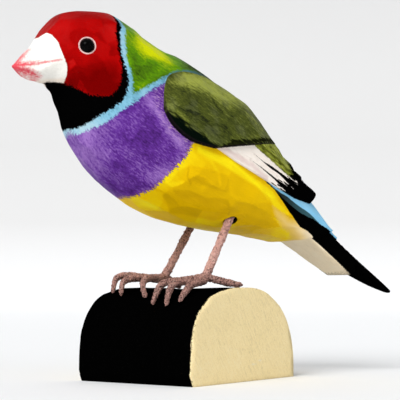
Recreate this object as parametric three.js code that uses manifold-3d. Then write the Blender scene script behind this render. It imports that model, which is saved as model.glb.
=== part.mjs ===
// A life-size finch carved in wood with its folded wings and tail in one, glass bead eyes and metal legs,
// standing on half a sawn log. Millimetres, +Z up, the beak towards -Y and the bird's left wing towards +X.
// The origin is the centre of the log's flat underside.
import * as THREE from 'three';
import { mergeVertices } from 'three/addons/utils/BufferGeometryUtils.js';
import Module from 'manifold-3d';

const wasm = await Module();
wasm.setup();

// Half log: a D-shaped section, swept along an axis turned from +X towards +Y. Its two sides differ:
// the fuller one lies under the bird's claws, and the rounder one under its tail.
const LOG_LENGTH = 39.2;
const LOG_HEIGHT = 26;
const LOG_WIDEST_HEIGHT = 3;
const LOG_FRONT = { halfWidth: 26.4, foot: 25.2, round: 2.94 };
const LOG_REAR = { halfWidth: 24.5, foot: 24.5, round: 2.22 };
const LOG_TURN = THREE.MathUtils.degToRad(26);
const LOG_ARC_STEPS = 34;

// Sections of the carved body, from the beak's tip to the root of the tail. Each lies in a plane across
// the body, between a point of the back line and one of the belly line, both in the side view as [y, z].
// half is the half width, widest the height of the widest place (-1 belly, 1 back) and round the power of
// the section's superellipse.
const BODY = [
  { top: [-54.9, 86.4], bottom: [-54.8, 85.8], half: 0.5, widest: 0, round: 2.0 },
  { top: [-51.4, 90.6], bottom: [-51.1, 83.3], half: 4.2, widest: 0, round: 2.0 },
  { top: [-48.0, 94.5], bottom: [-47.1, 82.7], half: 7.2, widest: -0.05, round: 2.1 },
  { top: [-45.7, 98.0], bottom: [-44.5, 81.7], half: 9.4, widest: -0.03, round: 2.1 },
  { top: [-42.0, 101.5], bottom: [-43.1, 80.3], half: 11.2, widest: 0, round: 2.1 },
  { top: [-35.1, 103.1], bottom: [-41.1, 78.2], half: 12.8, widest: 0, round: 2.15 },
  { top: [-27.4, 102.9], bottom: [-40.1, 73.9], half: 13.3, widest: 0, round: 2.15 },
  { top: [-21.5, 100.1], bottom: [-39.2, 70.3], half: 13.9, widest: 0, round: 2.1 },
  { top: [-13.6, 95.4], bottom: [-35.6, 64.0], half: 16.2, widest: 0, round: 2.1 },
  { top: [-4.1, 91.1], bottom: [-29.6, 57.1], half: 17.9, widest: 0.05, round: 2.1 },
  { top: [6.2, 85.3], bottom: [-20.9, 50.5], half: 18.6, widest: 0.05, round: 2.1 },
  { top: [13.8, 78.9], bottom: [-9.3, 45.6], half: 18.3, widest: 0.05, round: 2.15 },
  { top: [20.3, 71.8], bottom: [3.0, 43.2], half: 17.1, widest: 0.03, round: 2.2 },
  { top: [26.6, 63.8], bottom: [16.4, 41.5], half: 14.9, widest: 0, round: 2.3 },
  { top: [34.5, 54.9], bottom: [26.0, 40.4], half: 12.6, widest: 0, round: 2.5 },
  { top: [42.7, 46.0], bottom: [30.7, 39.7], half: 11.0, widest: 0, round: 3.0 },
  { top: [44.9, 43.6], bottom: [35.5, 40.3], half: 9.8, widest: 0, round: 3.4 },
];

// Outer surface of the flight feathers of both folded wings, from the shoulders to the wing tips
const WINGS = [
  { top: [-13.6, 95.3], bottom: [-35.6, 64.0], half: 15.8, widest: 0.0, round: 2.1 },
  { top: [-4.1, 91.0], bottom: [-29.6, 57.1], half: 18.3, widest: 0.05, round: 2.1 },
  { top: [6.2, 85.1], bottom: [-20.9, 50.5], half: 19.5, widest: 0.05, round: 2.1 },
  { top: [14.2, 79.4], bottom: [-9.3, 45.6], half: 19.2, widest: 0.05, round: 2.15 },
  { top: [20.6, 72.0], bottom: [3.0, 43.2], half: 17.9, widest: 0.03, round: 2.2 },
  { top: [26.5, 65.6], bottom: [16.4, 41.5], half: 15.8, widest: 0, round: 2.2 },
  { top: [32.1, 60.6], bottom: [24.0, 43.0], half: 13.9, widest: 0, round: 2.3 },
  { top: [36.9, 57.2], bottom: [29.0, 45.0], half: 12.1, widest: 0, round: 2.3 },
  { top: [41.0, 53.0], bottom: [34.5, 46.5], half: 10.3, widest: 0, round: 2.3 },
];
const COVERT_RISE = 0.95;
const TERTIAL_RISE = 0.4;

// Outlines of the layers of the wing. The coverts have a round lower front edge in the side view, as [y, z],
// and a front edge over the back in the plan, as [x, y], which both wings share. Their rear is cut straight.
const COVERT_FRONT = [[-2.2, 64.7], [-9.6, 66.4], [-15.0, 70.3], [-17.5, 74.6], [-17.9, 79.0]];
const COVERT_REAR = [[-17.9, 96.0], [34.0, 96.0], [34.0, 69.6]];
const SHOULDER_EDGE = [
  [19.8, -18.8], [18.3, -17.9], [16.9, -16.6], [15.7, -13.2],
  [13.8, -8.0], [11.3, -3.0], [7.2, 1.6], [0.0, 4.6],
];
const SHOULDER_REAR = [[-26.0, -18.8], [-26.0, 40.0], [26.0, 40.0], [26.0, -18.8]];
const PRIMARIES = [
  [-4.0, 66.5], [-1.6, 64.7], [4.8, 61.2], [13.4, 57.4], [20.9, 54.3], [26.8, 52.0],
  [33.4, 50.7], [38.6, 55.2], [44.0, 60.0], [40.0, 76.0], [-4.0, 76.0],
];
const TERTIALS = [
  [11.4, 66.0], [16.0, 63.3], [21.7, 59.9], [26.3, 57.5], [29.4, 56.9],
  [32.4, 59.5], [36.0, 62.0], [36.0, 76.0], [10.0, 76.0],
];
const UPPER_TERTIALS = [
  [13.0, 66.4], [19.4, 63.2], [25.1, 59.5], [26.9, 58.6],
  [27.4, 61.0], [28.5, 64.4], [28.5, 76.0], [12.0, 76.0],
];

// Groove along the back where the folded wings meet, opening into the gap between the wing tips. It is
// cut down and forwards, square to the back, and narrows towards its floor.
const PARTING_DOWN = [-0.65, -0.76];
const PARTING_FLOOR = 0.55;
const PARTING_SPACING = 6;
const WING_PARTING = [
  { top: [6.2, 87.0], half: 0.6, deep: 2.6 },
  { top: [14.4, 81.7], half: 1.0, deep: 3.4 },
  { top: [20.7, 74.2], half: 1.4, deep: 3.8 },
  { top: [26.6, 67.8], half: 2.2, deep: 4.6 },
  { top: [32.1, 62.6], half: 3.8, deep: 7.4 },
  { top: [36.9, 59.2], half: 5.2, deep: 10.5 },
  { top: [42.5, 54.5], half: 6.2, deep: 12.5 },
];

// Tail: a flat blade, a wedge under it that ends in a square cut, and the feathers that lie on its root
const TAIL_BLADE = [
  { top: [27.0, 53.3], bottom: [25.4, 51.0], half: 10.3, widest: 0, round: 8 },
  { top: [36.0, 47.1], bottom: [34.4, 44.9], half: 9.6, widest: 0, round: 8 },
  { top: [45.1, 40.7], bottom: [43.6, 38.6], half: 8.4, widest: 0, round: 8 },
  { top: [55.7, 33.7], bottom: [54.6, 31.9], half: 6.1, widest: 0, round: 7 },
  { top: [64.2, 28.7], bottom: [63.3, 27.2], half: 3.7, widest: 0, round: 6 },
  { top: [69.3, 25.8], bottom: [68.8, 24.8], half: 1.7, widest: 0, round: 4 },
  { top: [70.5, 25.1], bottom: [70.1, 24.4], half: 0.9, widest: 0, round: 3 },
];
const UNDERTAIL = [
  { top: [30.0, 50.5], bottom: [26.6, 47.6], half: 10.5, widest: 0, round: 10 },
  { top: [36.6, 45.8], bottom: [32.6, 41.8], half: 9.1, widest: 0, round: 10 },
  { top: [41.6, 41.6], bottom: [38.2, 38.3], half: 8.5, widest: 0, round: 10 },
  { top: [53.6, 33.4], bottom: [51.5, 29.9], half: 7.0, widest: 0, round: 10 },
];
const UPPERTAIL = [
  { top: [29.0, 58.5], bottom: [24.0, 50.0], half: 10.6, widest: -0.4, round: 2.6 },
  { top: [35.9, 52.4], bottom: [32.0, 46.6], half: 10.2, widest: -0.5, round: 2.8 },
  { top: [42.0, 45.8], bottom: [39.0, 41.8], half: 9.1, widest: -0.6, round: 3.0 },
  { top: [46.7, 42.0], bottom: [44.0, 38.6], half: 8.0, widest: -0.7, round: 3.4 },
];

// Eyes
const EYE_CENTRE = new THREE.Vector3(12.0, -38.0, 91.2);
const EYE_RADIUS = 2.05;
const SOCKET_GAP = 0.3;

// Legs: each is a round shank that enters a drilled hole in the belly, and a foot with four toes
const HIP = { left: [9.9, 7.1, 45.2], right: [-9.9, 5.5, 44.8] };
const ANKLE = { left: [10.6, -0.9, 29.1], right: [-10.6, -3.3, 29.1] };
const SHANK_RADIUS = 1.1;
const SHANK_DEPTH = 6;
const HOLE_RADIUS = 1.75;
const HOLE_SHIFT = 0.25;
const HOLE_OUTSIDE = 4;
const HOLE_SPARE_DEPTH = 0.5;
const SHANK_FLARE = 1.1;
const KNUCKLE_SWELL = 1.2;
const TOE_RADIUS = 0.95;
const CLAW_RADIUS = 0.5;
const TOES = {
  left: [
    [[10.2, -7.8, 28.1], [9.6, -12.8, 27.5], [10.2, -15.4, 25.8], [11.7, -17.7, 22.2]],
    [[12.4, -7.5, 27.9], [13.6, -12.2, 27.2], [15.1, -14.5, 25.3], [16.2, -15.9, 21.9]],
    [[13.0, -3.0, 27.9], [15.9, -8.1, 26.9], [17.9, -11.0, 25.0], [19.1, -13.2, 22.8]],
    [[13.2, 3.3, 27.8], [15.0, 5.4, 27.2], [16.5, 7.1, 26.9]],
  ],
  right: [
    [[-10.6, -9.0, 29.0], [-10.5, -15.3, 29.6], [-9.4, -19.4, 28.7], [-8.2, -20.9, 25.2]],
    [[-8.8, -8.9, 28.7], [-5.8, -16.4, 28.6], [-3.9, -19.8, 27.4], [-3.0, -20.7, 24.4]],
    [[-7.0, -7.6, 28.5], [-2.0, -12.6, 28.7], [2.8, -16.7, 27.2], [6.1, -17.6, 23.9]],
    [[-11.3, -0.6, 28.1], [-11.8, 1.0, 27.2], [-12.2, 2.5, 26.4]],
  ],
};

// Fineness of the faceted surfaces
const RING_SIDES = 32;
const RING_SPACING = 3.0;
const EYE_SIDES = 14;
const SOCKET_SIDES = 18;
const TOE_SIDES = 6;
const TOE_STEPS = 3;
const TOE_TAPER_POWER = 4;
const SHANK_SIDES = 10;
const SHANK_STEPS = 2;
const HOLE_SIDES = 14;
const EDGE_STEPS = 16;
const SWEEP_WIDTH = 60;
const SWEEP_HEIGHT = 110;

const paint = (hex, roughness) => new THREE.MeshStandardMaterial({ color: hex, roughness, metalness: 0 });
const FINISH = {
  carving: paint(0x8a8f2c, 0.6),
  bead: paint(0x050505, 0.08),
  legs: new THREE.MeshStandardMaterial({ color: 0xb98278, roughness: 0.55, metalness: 0.2 }),
  log: paint(0x1a1816, 0.75),
};

// Catmull-Rom value between b and c
function blendValue(a, b, c, d, t) {
  const cube = (3 * b - a - 3 * c + d) * t ** 3;
  return 0.5 * (2 * b + (c - a) * t + (2 * a - 5 * b + 4 * c - d) * t ** 2 + cube);
}

// Every number of four neighbouring sections is blended alike, also those in lists
function blendSection(a, b, c, d, t) {
  const mix = {};
  for (const key of Object.keys(b)) {
    mix[key] = Array.isArray(b[key])
      ? b[key].map((_, i) => blendValue(a[key][i], b[key][i], c[key][i], d[key][i], t))
      : blendValue(a[key], b[key], c[key], d[key], t);
  }
  return mix;
}

// The table's sections with smooth ones between them, about spacing apart along the back
function smoothSections(table, spacing) {
  const sections = [];
  const last = table.length - 1;
  for (let i = 0; i < last; i += 1) {
    const span = [table[Math.max(i - 1, 0)], table[i], table[i + 1], table[Math.min(i + 2, last)]];
    const length = Math.hypot(span[2].top[0] - span[1].top[0], span[2].top[1] - span[1].top[1]);
    const steps = Math.max(1, Math.round(length / spacing));
    for (let k = 0; k < steps; k += 1) sections.push(blendSection(...span, k / steps));
  }
  sections.push(table[last]);
  return sections;
}

// A section grown sideways and upwards, as a layer of feathers that lies on it
function raised(section, rise) {
  const [dy, dz] = [section.top[0] - section.bottom[0], section.top[1] - section.bottom[1]];
  const length = Math.hypot(dy, dz);
  const top = [section.top[0] + (rise * dy) / length, section.top[1] + (rise * dz) / length];
  return { ...section, top, half: section.half + rise };
}

const signedPower = (value, power) => Math.sign(value) * Math.abs(value) ** power;

// Points around one section: a superellipse whose widest place may lie above or below the middle
function sectionRing(section, sides) {
  const points = [];
  const { top, bottom, half, widest, round } = section;
  for (let k = 0; k < sides; k += 1) {
    const angle = (2 * Math.PI * k) / sides;
    const side = signedPower(Math.cos(angle), 2 / round);
    const rise = signedPower(Math.sin(angle), 2 / round);
    const height = rise > 0 ? widest + (1 - widest) * rise : widest + (1 + widest) * rise;
    const share = (height + 1) / 2;
    const y = bottom[0] + (top[0] - bottom[0]) * share;
    const z = bottom[1] + (top[1] - bottom[1]) * share;
    points.push(new THREE.Vector3(half * side, y, z));
  }
  return points;
}

// Closed skin through a row of rings that have the same number of points, with a fan over each end
function skin(rings) {
  const sides = rings[0].length;
  const positions = rings.flat().flatMap((point) => point.toArray());
  const triangles = [];
  for (let i = 0; i < rings.length - 1; i += 1) {
    for (let k = 0; k < sides; k += 1) {
      const [a, b] = [i * sides + k, i * sides + ((k + 1) % sides)];
      triangles.push(a, b, b + sides, a, b + sides, a + sides);
    }
  }
  for (const [ring, start] of [[rings[0], 0], [rings.at(-1), (rings.length - 1) * sides]]) {
    const centre = ring.reduce((sum, point) => sum.add(point), new THREE.Vector3()).divideScalar(sides);
    const hub = positions.length / 3;
    positions.push(...centre.toArray());
    for (let k = 0; k < sides; k += 1) {
      const [a, b] = [start + k, start + ((k + 1) % sides)];
      triangles.push(...(start === 0 ? [hub, b, a] : [hub, a, b]));
    }
  }
  const geometry = new THREE.BufferGeometry();
  geometry.setAttribute('position', new THREE.Float32BufferAttribute(positions, 3));
  geometry.setIndex(triangles);
  return geometry;
}

// Manifold solid of a geometry, turned face out if it was built inside out
function solid(geometry) {
  const bare = geometry.clone();
  bare.deleteAttribute('normal');
  bare.deleteAttribute('uv');
  const merged = mergeVertices(bare, 1e-4);
  const vertProperties = new Float32Array(merged.attributes.position.array);
  const triVerts = new Uint32Array(merged.index.array);
  const make = () => new wasm.Manifold(new wasm.Mesh({ numProp: 3, vertProperties, triVerts }));
  const body = make();
  if (body.volume() > 0) return body;
  for (let i = 0; i < triVerts.length; i += 3) {
    [triVerts[i], triVerts[i + 1]] = [triVerts[i + 1], triVerts[i]];
  }
  return make();
}

function meshGeometry(body) {
  const mesh = body.getMesh();
  const positions = new Float32Array(mesh.numVert * 3);
  for (let i = 0; i < mesh.numVert; i += 1) {
    positions.set(mesh.vertProperties.subarray(i * mesh.numProp, i * mesh.numProp + 3), i * 3);
  }
  const geometry = new THREE.BufferGeometry();
  geometry.setAttribute('position', new THREE.BufferAttribute(positions, 3));
  geometry.setIndex(Array.from(mesh.triVerts));
  return geometry;
}

function loft(table, rise = 0, spacing = RING_SPACING) {
  const sections = smoothSections(table, spacing);
  const rings = sections.map((section) => sectionRing(rise ? raised(section, rise) : section, RING_SIDES));
  return solid(skin(rings));
}

const flatShape = (points) => new THREE.Shape(points.map(([a, b]) => new THREE.Vector2(a, b)));

// Side-view outline, as [y, z], swept across the whole width of the bird
function sideways(points) {
  const geometry = new THREE.ExtrudeGeometry(flatShape(points), { depth: SWEEP_WIDTH, bevelEnabled: false });
  const turn = new THREE.Matrix4().makeBasis(
    new THREE.Vector3(0, 1, 0),
    new THREE.Vector3(0, 0, 1),
    new THREE.Vector3(1, 0, 0),
  );
  return solid(geometry.applyMatrix4(turn).translate(-SWEEP_WIDTH / 2, 0, 0));
}

// Plan outline, as [x, y], swept up through the whole height of the bird
function upwards(points) {
  return solid(new THREE.ExtrudeGeometry(flatShape(points), { depth: SWEEP_HEIGHT, bevelEnabled: false }));
}

// Smooth line through a few points
function smoothLine(points) {
  const curve = new THREE.SplineCurve(points.map(([a, b]) => new THREE.Vector2(a, b)));
  return curve.getPoints(EDGE_STEPS).map((point) => point.toArray());
}

// The small feathers that cover the front of both wings, raised over the rest
function coverts() {
  const edge = smoothLine(SHOULDER_EDGE);
  const otherEdge = edge.slice(0, -1).reverse().map(([x, y]) => [-x, y]);
  return loft(WINGS, COVERT_RISE)
    .intersect(sideways([...smoothLine(COVERT_FRONT), ...COVERT_REAR]))
    .intersect(upwards([...edge, ...otherEdge, ...SHOULDER_REAR]));
}

// V-shaped cutter along the line where the wings meet
function wingParting() {
  const rings = smoothSections(WING_PARTING, PARTING_SPACING).map(({ top, half, deep }) => {
    const floor = [top[0] + deep * PARTING_DOWN[0], top[1] + deep * PARTING_DOWN[1]];
    return [
      new THREE.Vector3(half, ...top),
      new THREE.Vector3(-half, ...top),
      new THREE.Vector3(-half * PARTING_FLOOR, ...floor),
      new THREE.Vector3(half * PARTING_FLOOR, ...floor),
    ];
  });
  return solid(skin(rings));
}

function foldedWings() {
  const layers = [
    coverts(),
    loft(WINGS).intersect(sideways(PRIMARIES)),
    loft(WINGS, TERTIAL_RISE).intersect(sideways(TERTIALS)),
    loft(WINGS, 2 * TERTIAL_RISE).intersect(sideways(UPPER_TERTIALS)),
  ];
  return layers.reduce((all, layer) => all.add(layer)).subtract(wingParting());
}

function ball(centre, radius, sides) {
  const geometry = new THREE.SphereGeometry(radius, sides, sides / 2);
  return solid(geometry.translate(centre.x, centre.y, centre.z));
}

// Round bar along a curve through points, its radius running from the first to the last value
function taperedBar(points, startRadius, endRadius, sides, steps) {
  const stops = points.map((point) => new THREE.Vector3(...point));
  const curve = new THREE.CatmullRomCurve3(stops, false, 'centripetal');
  const count = steps * (points.length - 1);
  const frames = curve.computeFrenetFrames(count, false);
  const rings = [];
  for (let i = 0; i <= count; i += 1) {
    const share = i / count;
    const centre = curve.getPointAt(share);
    const radius = startRadius + (endRadius - startRadius) * share ** TOE_TAPER_POWER;
    rings.push(Array.from({ length: sides }, (_, k) => {
      const angle = (2 * Math.PI * k) / sides;
      return centre.clone()
        .addScaledVector(frames.normals[i], radius * Math.cos(angle))
        .addScaledVector(frames.binormals[i], radius * Math.sin(angle));
    }));
  }
  return solid(skin(rings));
}

// A point on the shank's axis, measured from the hip into the body
function alongShank(side, distance, shift = 0) {
  const hip = new THREE.Vector3(...HIP[side]);
  const ankle = new THREE.Vector3(...ANKLE[side]);
  const inward = hip.clone().sub(ankle).normalize();
  return hip.addScaledVector(inward, distance).add(new THREE.Vector3(0, shift, 0)).toArray();
}

function legHole(side) {
  const mouth = alongShank(side, -HOLE_OUTSIDE, HOLE_SHIFT);
  const end = alongShank(side, SHANK_DEPTH + HOLE_SPARE_DEPTH, HOLE_SHIFT);
  return taperedBar([mouth, end], HOLE_RADIUS, HOLE_RADIUS, HOLE_SIDES, 1);
}

function leg(side) {
  const start = ANKLE[side];
  const axis = [alongShank(side, SHANK_DEPTH), start];
  const shank = taperedBar(axis, SHANK_RADIUS, SHANK_RADIUS * SHANK_FLARE, SHANK_SIDES, SHANK_STEPS);
  const toes = TOES[side].map((points) => (
    taperedBar([start, ...points], TOE_RADIUS, CLAW_RADIUS, TOE_SIDES, TOE_STEPS)
  ));
  const knuckle = ball(new THREE.Vector3(...start), SHANK_RADIUS * KNUCKLE_SWELL, SHANK_SIDES);
  return meshGeometry([...toes, knuckle].reduce((all, piece) => all.add(piece), shank));
}

function finch() {
  const pieces = [loft(TAIL_BLADE), loft(UNDERTAIL), loft(UPPERTAIL), foldedWings()];
  const carving = pieces.reduce((all, piece) => all.add(piece), loft(BODY));
  const cuts = ['left', 'right'].map(legHole);
  for (const side of [1, -1]) {
    cuts.push(ball(EYE_CENTRE.clone().setX(side * EYE_CENTRE.x), EYE_RADIUS + SOCKET_GAP, SOCKET_SIDES));
  }
  return meshGeometry(cuts.reduce((body, cut) => body.subtract(cut), carving));
}

// The log's sawn end, as [across, up]: two quarter superellipses over a narrower foot
function logOutline() {
  const outline = new THREE.Shape();
  outline.moveTo(-LOG_FRONT.foot, 0);
  outline.lineTo(LOG_REAR.foot, 0);
  for (let i = 0; i <= LOG_ARC_STEPS; i += 1) {
    const angle = (Math.PI * i) / LOG_ARC_STEPS;
    const { halfWidth, round } = angle < Math.PI / 2 ? LOG_REAR : LOG_FRONT;
    const across = halfWidth * signedPower(Math.cos(angle), 2 / round);
    const up = (LOG_HEIGHT - LOG_WIDEST_HEIGHT) * signedPower(Math.sin(angle), 2 / round);
    outline.lineTo(across, LOG_WIDEST_HEIGHT + up);
  }
  return outline;
}

function log() {
  const geometry = new THREE.ExtrudeGeometry(logOutline(), { depth: LOG_LENGTH, bevelEnabled: false });
  geometry.translate(0, 0, -LOG_LENGTH / 2).applyMatrix4(new THREE.Matrix4().makeBasis(
    new THREE.Vector3(0, 1, 0),
    new THREE.Vector3(0, 0, 1),
    new THREE.Vector3(1, 0, 0),
  ));
  return meshGeometry(solid(geometry));
}

function piece(name, geometry, material) {
  const mesh = new THREE.Mesh(geometry, material);
  mesh.name = name;
  return mesh;
}

const carving = new THREE.Group();
const plinth = piece('log_base', log(), FINISH.log);
plinth.rotation.z = LOG_TURN;
carving.add(plinth, piece('finch_body', finch(), FINISH.carving));
for (const [side, sign] of [['left', 1], ['right', -1]]) {
  const sphere = new THREE.SphereGeometry(EYE_RADIUS, EYE_SIDES, EYE_SIDES / 2);
  const bead = piece(`eye_${side}`, sphere, FINISH.bead);
  bead.position.set(sign * EYE_CENTRE.x, EYE_CENTRE.y, EYE_CENTRE.z);
  carving.add(bead, piece(`leg_${side}`, leg(side), FINISH.legs));
}

export default carving;
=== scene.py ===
"""Painted finch carved in wood, with glass bead eyes and metal legs, standing on half a sawn log.

The tables hold millimetres in the frame's own axes: the beak points to -Y, the bird's left wing to +X and
Z is up.
The bird is worked out as one solid shape from its sections, given a fine skin, whittled, and then painted.

Programs made most of these numbers. The sections, the log's sizes and turn, and the camera come from
least-squares fits to outlines in a photograph, and some sections were moved later by measured
differences. The points of the legs, the layers, the painted areas, the facets and lines of painted light
and shade, and the places of painted light, shade and tone were read from it and turned into millimetres
by ray casts. They were rounded, and some were then moved."""

import math

import bpy
import numpy as np
from mathutils import Matrix, Vector, noise


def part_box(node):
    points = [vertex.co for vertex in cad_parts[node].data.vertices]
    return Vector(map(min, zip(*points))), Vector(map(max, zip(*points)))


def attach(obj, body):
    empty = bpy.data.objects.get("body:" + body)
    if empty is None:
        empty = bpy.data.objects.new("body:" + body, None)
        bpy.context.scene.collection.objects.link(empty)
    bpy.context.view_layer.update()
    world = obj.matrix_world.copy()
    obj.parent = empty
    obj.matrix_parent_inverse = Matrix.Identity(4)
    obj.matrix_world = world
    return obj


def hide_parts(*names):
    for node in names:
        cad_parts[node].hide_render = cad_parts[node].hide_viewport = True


bl_info = {
    "name": "Painted finch carving",
    "version": (1, 0, 0),
    "blender": (4, 5, 0),
    "location": "View3D > Sidebar > Finch",
    "description": "Carves, paints and lights a wooden finch on its half log",
    "category": "Add Mesh",
}

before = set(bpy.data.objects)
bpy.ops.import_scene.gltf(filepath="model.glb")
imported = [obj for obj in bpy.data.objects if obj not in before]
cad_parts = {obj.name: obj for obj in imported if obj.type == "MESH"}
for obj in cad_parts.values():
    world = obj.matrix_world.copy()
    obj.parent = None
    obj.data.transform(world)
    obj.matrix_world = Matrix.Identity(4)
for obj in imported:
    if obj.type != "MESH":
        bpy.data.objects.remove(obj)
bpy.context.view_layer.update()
MM = 0.001

# Sections, from the beak's tip to the root of the tail. Each lies between a point of the back line and one
# of the belly line of the side view: back y, back z, belly y, belly z, half width, height of the widest
# place (-1 belly, 1 back) and the power of the section's superellipse. WINGS are the folded wings,
# TAIL_BLADE the long flat tail, UNDERTAIL the wedge under it, and UPPERTAIL the feathers over its root.
BODY = (
    (-54.9, 86.4, -54.8, 85.8, 0.5, 0, 2.0),
    (-51.4, 90.6, -51.1, 83.3, 4.2, 0, 2.0),
    (-48.0, 94.5, -47.1, 82.7, 7.2, -0.05, 2.1),
    (-45.7, 98.0, -44.5, 81.7, 9.4, -0.03, 2.1),
    (-42.0, 101.5, -43.1, 80.3, 11.2, 0, 2.1),
    (-35.1, 103.1, -41.1, 78.2, 12.8, 0, 2.15),
    (-27.4, 102.9, -40.1, 73.9, 13.3, 0, 2.15),
    (-21.5, 100.1, -39.2, 70.3, 13.9, 0, 2.1),
    (-13.6, 95.4, -35.6, 64.0, 16.2, 0, 2.1),
    (-4.1, 91.1, -29.6, 57.1, 17.9, 0.05, 2.1),
    (6.2, 85.3, -20.9, 50.5, 18.6, 0.05, 2.1),
    (13.8, 78.9, -9.3, 45.6, 18.3, 0.05, 2.15),
    (20.3, 71.8, 3.0, 43.2, 17.1, 0.03, 2.2),
    (26.6, 63.8, 16.4, 41.5, 14.9, 0, 2.3),
    (34.5, 54.9, 26.0, 40.4, 12.6, 0, 2.5),
    (42.7, 46.0, 30.7, 39.7, 11.0, 0, 3.0),
    (44.9, 43.6, 35.5, 40.3, 9.8, 0, 3.4),
)
WINGS = (
    (-13.6, 95.3, -35.6, 64.0, 15.8, 0.0, 2.1),
    (-4.1, 91.0, -29.6, 57.1, 18.3, 0.05, 2.1),
    (6.2, 85.1, -20.9, 50.5, 19.5, 0.05, 2.1),
    (14.2, 79.4, -9.3, 45.6, 19.2, 0.05, 2.15),
    (20.6, 72.0, 3.0, 43.2, 17.9, 0.03, 2.2),
    (26.5, 65.6, 16.4, 41.5, 15.8, 0, 2.2),
    (32.1, 60.6, 24.0, 43.0, 13.9, 0, 2.3),
    (36.9, 57.2, 29.0, 45.0, 12.1, 0, 2.3),
    (41.0, 53.0, 34.5, 46.5, 10.3, 0, 2.3),
)
TAIL_BLADE = (
    (27.0, 53.3, 25.4, 51.0, 10.3, 0, 8),
    (36.0, 47.1, 34.4, 44.9, 9.6, 0, 8),
    (45.1, 40.7, 43.6, 38.6, 8.4, 0, 8),
    (55.7, 33.7, 54.6, 31.9, 6.1, 0, 7),
    (64.2, 28.7, 63.3, 27.2, 3.7, 0, 6),
    (69.3, 25.8, 68.8, 24.8, 1.7, 0, 4),
    (70.5, 25.1, 70.1, 24.4, 0.9, 0, 3),
)
UNDERTAIL = (
    (30.0, 50.5, 26.6, 47.6, 10.5, 0, 10),
    (36.6, 45.8, 32.6, 41.8, 9.1, 0, 10),
    (41.6, 41.6, 38.2, 38.3, 8.5, 0, 10),
    (53.6, 33.4, 51.5, 29.9, 7.0, 0, 10),
)
UPPERTAIL = (
    (29.0, 58.5, 24.0, 50.0, 10.6, -0.4, 2.6),
    (35.9, 52.4, 32.0, 46.6, 10.2, -0.5, 2.8),
    (42.0, 45.8, 39.0, 41.8, 9.1, -0.6, 3.0),
    (46.7, 42.0, 44.0, 38.6, 8.0, -0.7, 3.4),
)

# How far the layers of the wing stand out. At their front edge, COVERT_SIDE out from the bird's middle, the
# coverts have COVERT_LEAST of their rise. The share grows by one over COVERT_FADE behind that edge, and by
# one over COVERT_FADE further out. The body's own sections rise under them by COVERT_ON_BODY of that.
COVERT_RISE = 0.95
COVERT_LEAST = 0.1
COVERT_FADE = 5
COVERT_SIDE = 13
COVERT_ON_BODY = 0.7
TERTIAL_RISE = 0.4

# Groove between the folded wings: top y, top z, floor y, floor z, half width at the top, and the last two
# columns of a section, which the groove doesn't use
PARTING_DOWN = (-0.65, -0.76)
PARTING_FLOOR = 0.55
PARTING = tuple(
    (y, z, y + deep * PARTING_DOWN[0], z + deep * PARTING_DOWN[1], half, 0, 2)
    for y, z, half, deep in (
        (6.2, 87.0, 0.6, 2.6),
        (14.4, 81.7, 1.0, 3.4),
        (20.7, 74.2, 1.4, 3.8),
        (26.6, 67.8, 2.2, 4.6),
        (32.1, 62.6, 3.8, 7.4),
        (36.9, 59.2, 5.2, 10.5),
        (42.5, 54.5, 6.2, 12.5),
    )
)

# Side outlines of the wing's layers (y, z), and the coverts' front edge over the back in the plan (x, y)
COVERT_FRONT = ((-2.2, 64.7), (-9.6, 66.4), (-15.0, 70.3), (-17.5, 74.6), (-17.9, 79.0))
COVERT_REAR = ((-17.9, 96.0), (34.0, 96.0), (34.0, 69.6))
SHOULDER_EDGE = (
    (19.8, -18.8), (18.3, -17.9), (16.9, -16.6), (15.7, -13.2), (13.8, -8.0), (11.3, -3.0),
    (7.2, 1.6), (0.0, 4.6),
)
PRIMARIES = (
    (-4.0, 66.5), (-1.6, 64.7), (4.8, 61.2), (13.4, 57.4), (20.9, 54.3), (26.8, 52.0), (33.4, 50.7),
    (38.6, 55.2), (44.0, 60.0), (40.0, 76.0), (-4.0, 76.0),
)
TERTIALS = (
    (11.4, 66.0), (16.0, 63.3), (21.7, 59.9), (26.3, 57.5), (29.4, 56.9), (32.4, 59.5), (36.0, 62.0),
    (36.0, 76.0), (10.0, 76.0),
)
UPPER_TERTIALS = (
    (13.0, 66.4), (19.4, 63.2), (25.1, 59.5), (26.9, 58.6), (27.4, 61.0), (28.5, 64.4), (28.5, 76.0),
    (12.0, 76.0),
)
# V-cuts between the flight feathers (y, z), with the half width of the black paint at each point
FEATHER_CUTS = (
    (
        (11.0, 63.9, 0.08), (14.7, 61.7, 0.2), (16.9, 60.6, 0.5), (20.7, 59.0, 0.45),
        (25.5, 56.1, 1.0), (31, 53, 1.4),
    ),
    (
        (9.9, 62.0, 0.05), (14.3, 59.7, 0.25), (18.9, 57.1, 0.35), (22.0, 55.2, 0.8), (28, 52, 1.2),
    ),
)
FEATHER_CUT_DEPTH = 0.55
FEATHER_CUT_HALF_WIDTH = 0.75

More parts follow.
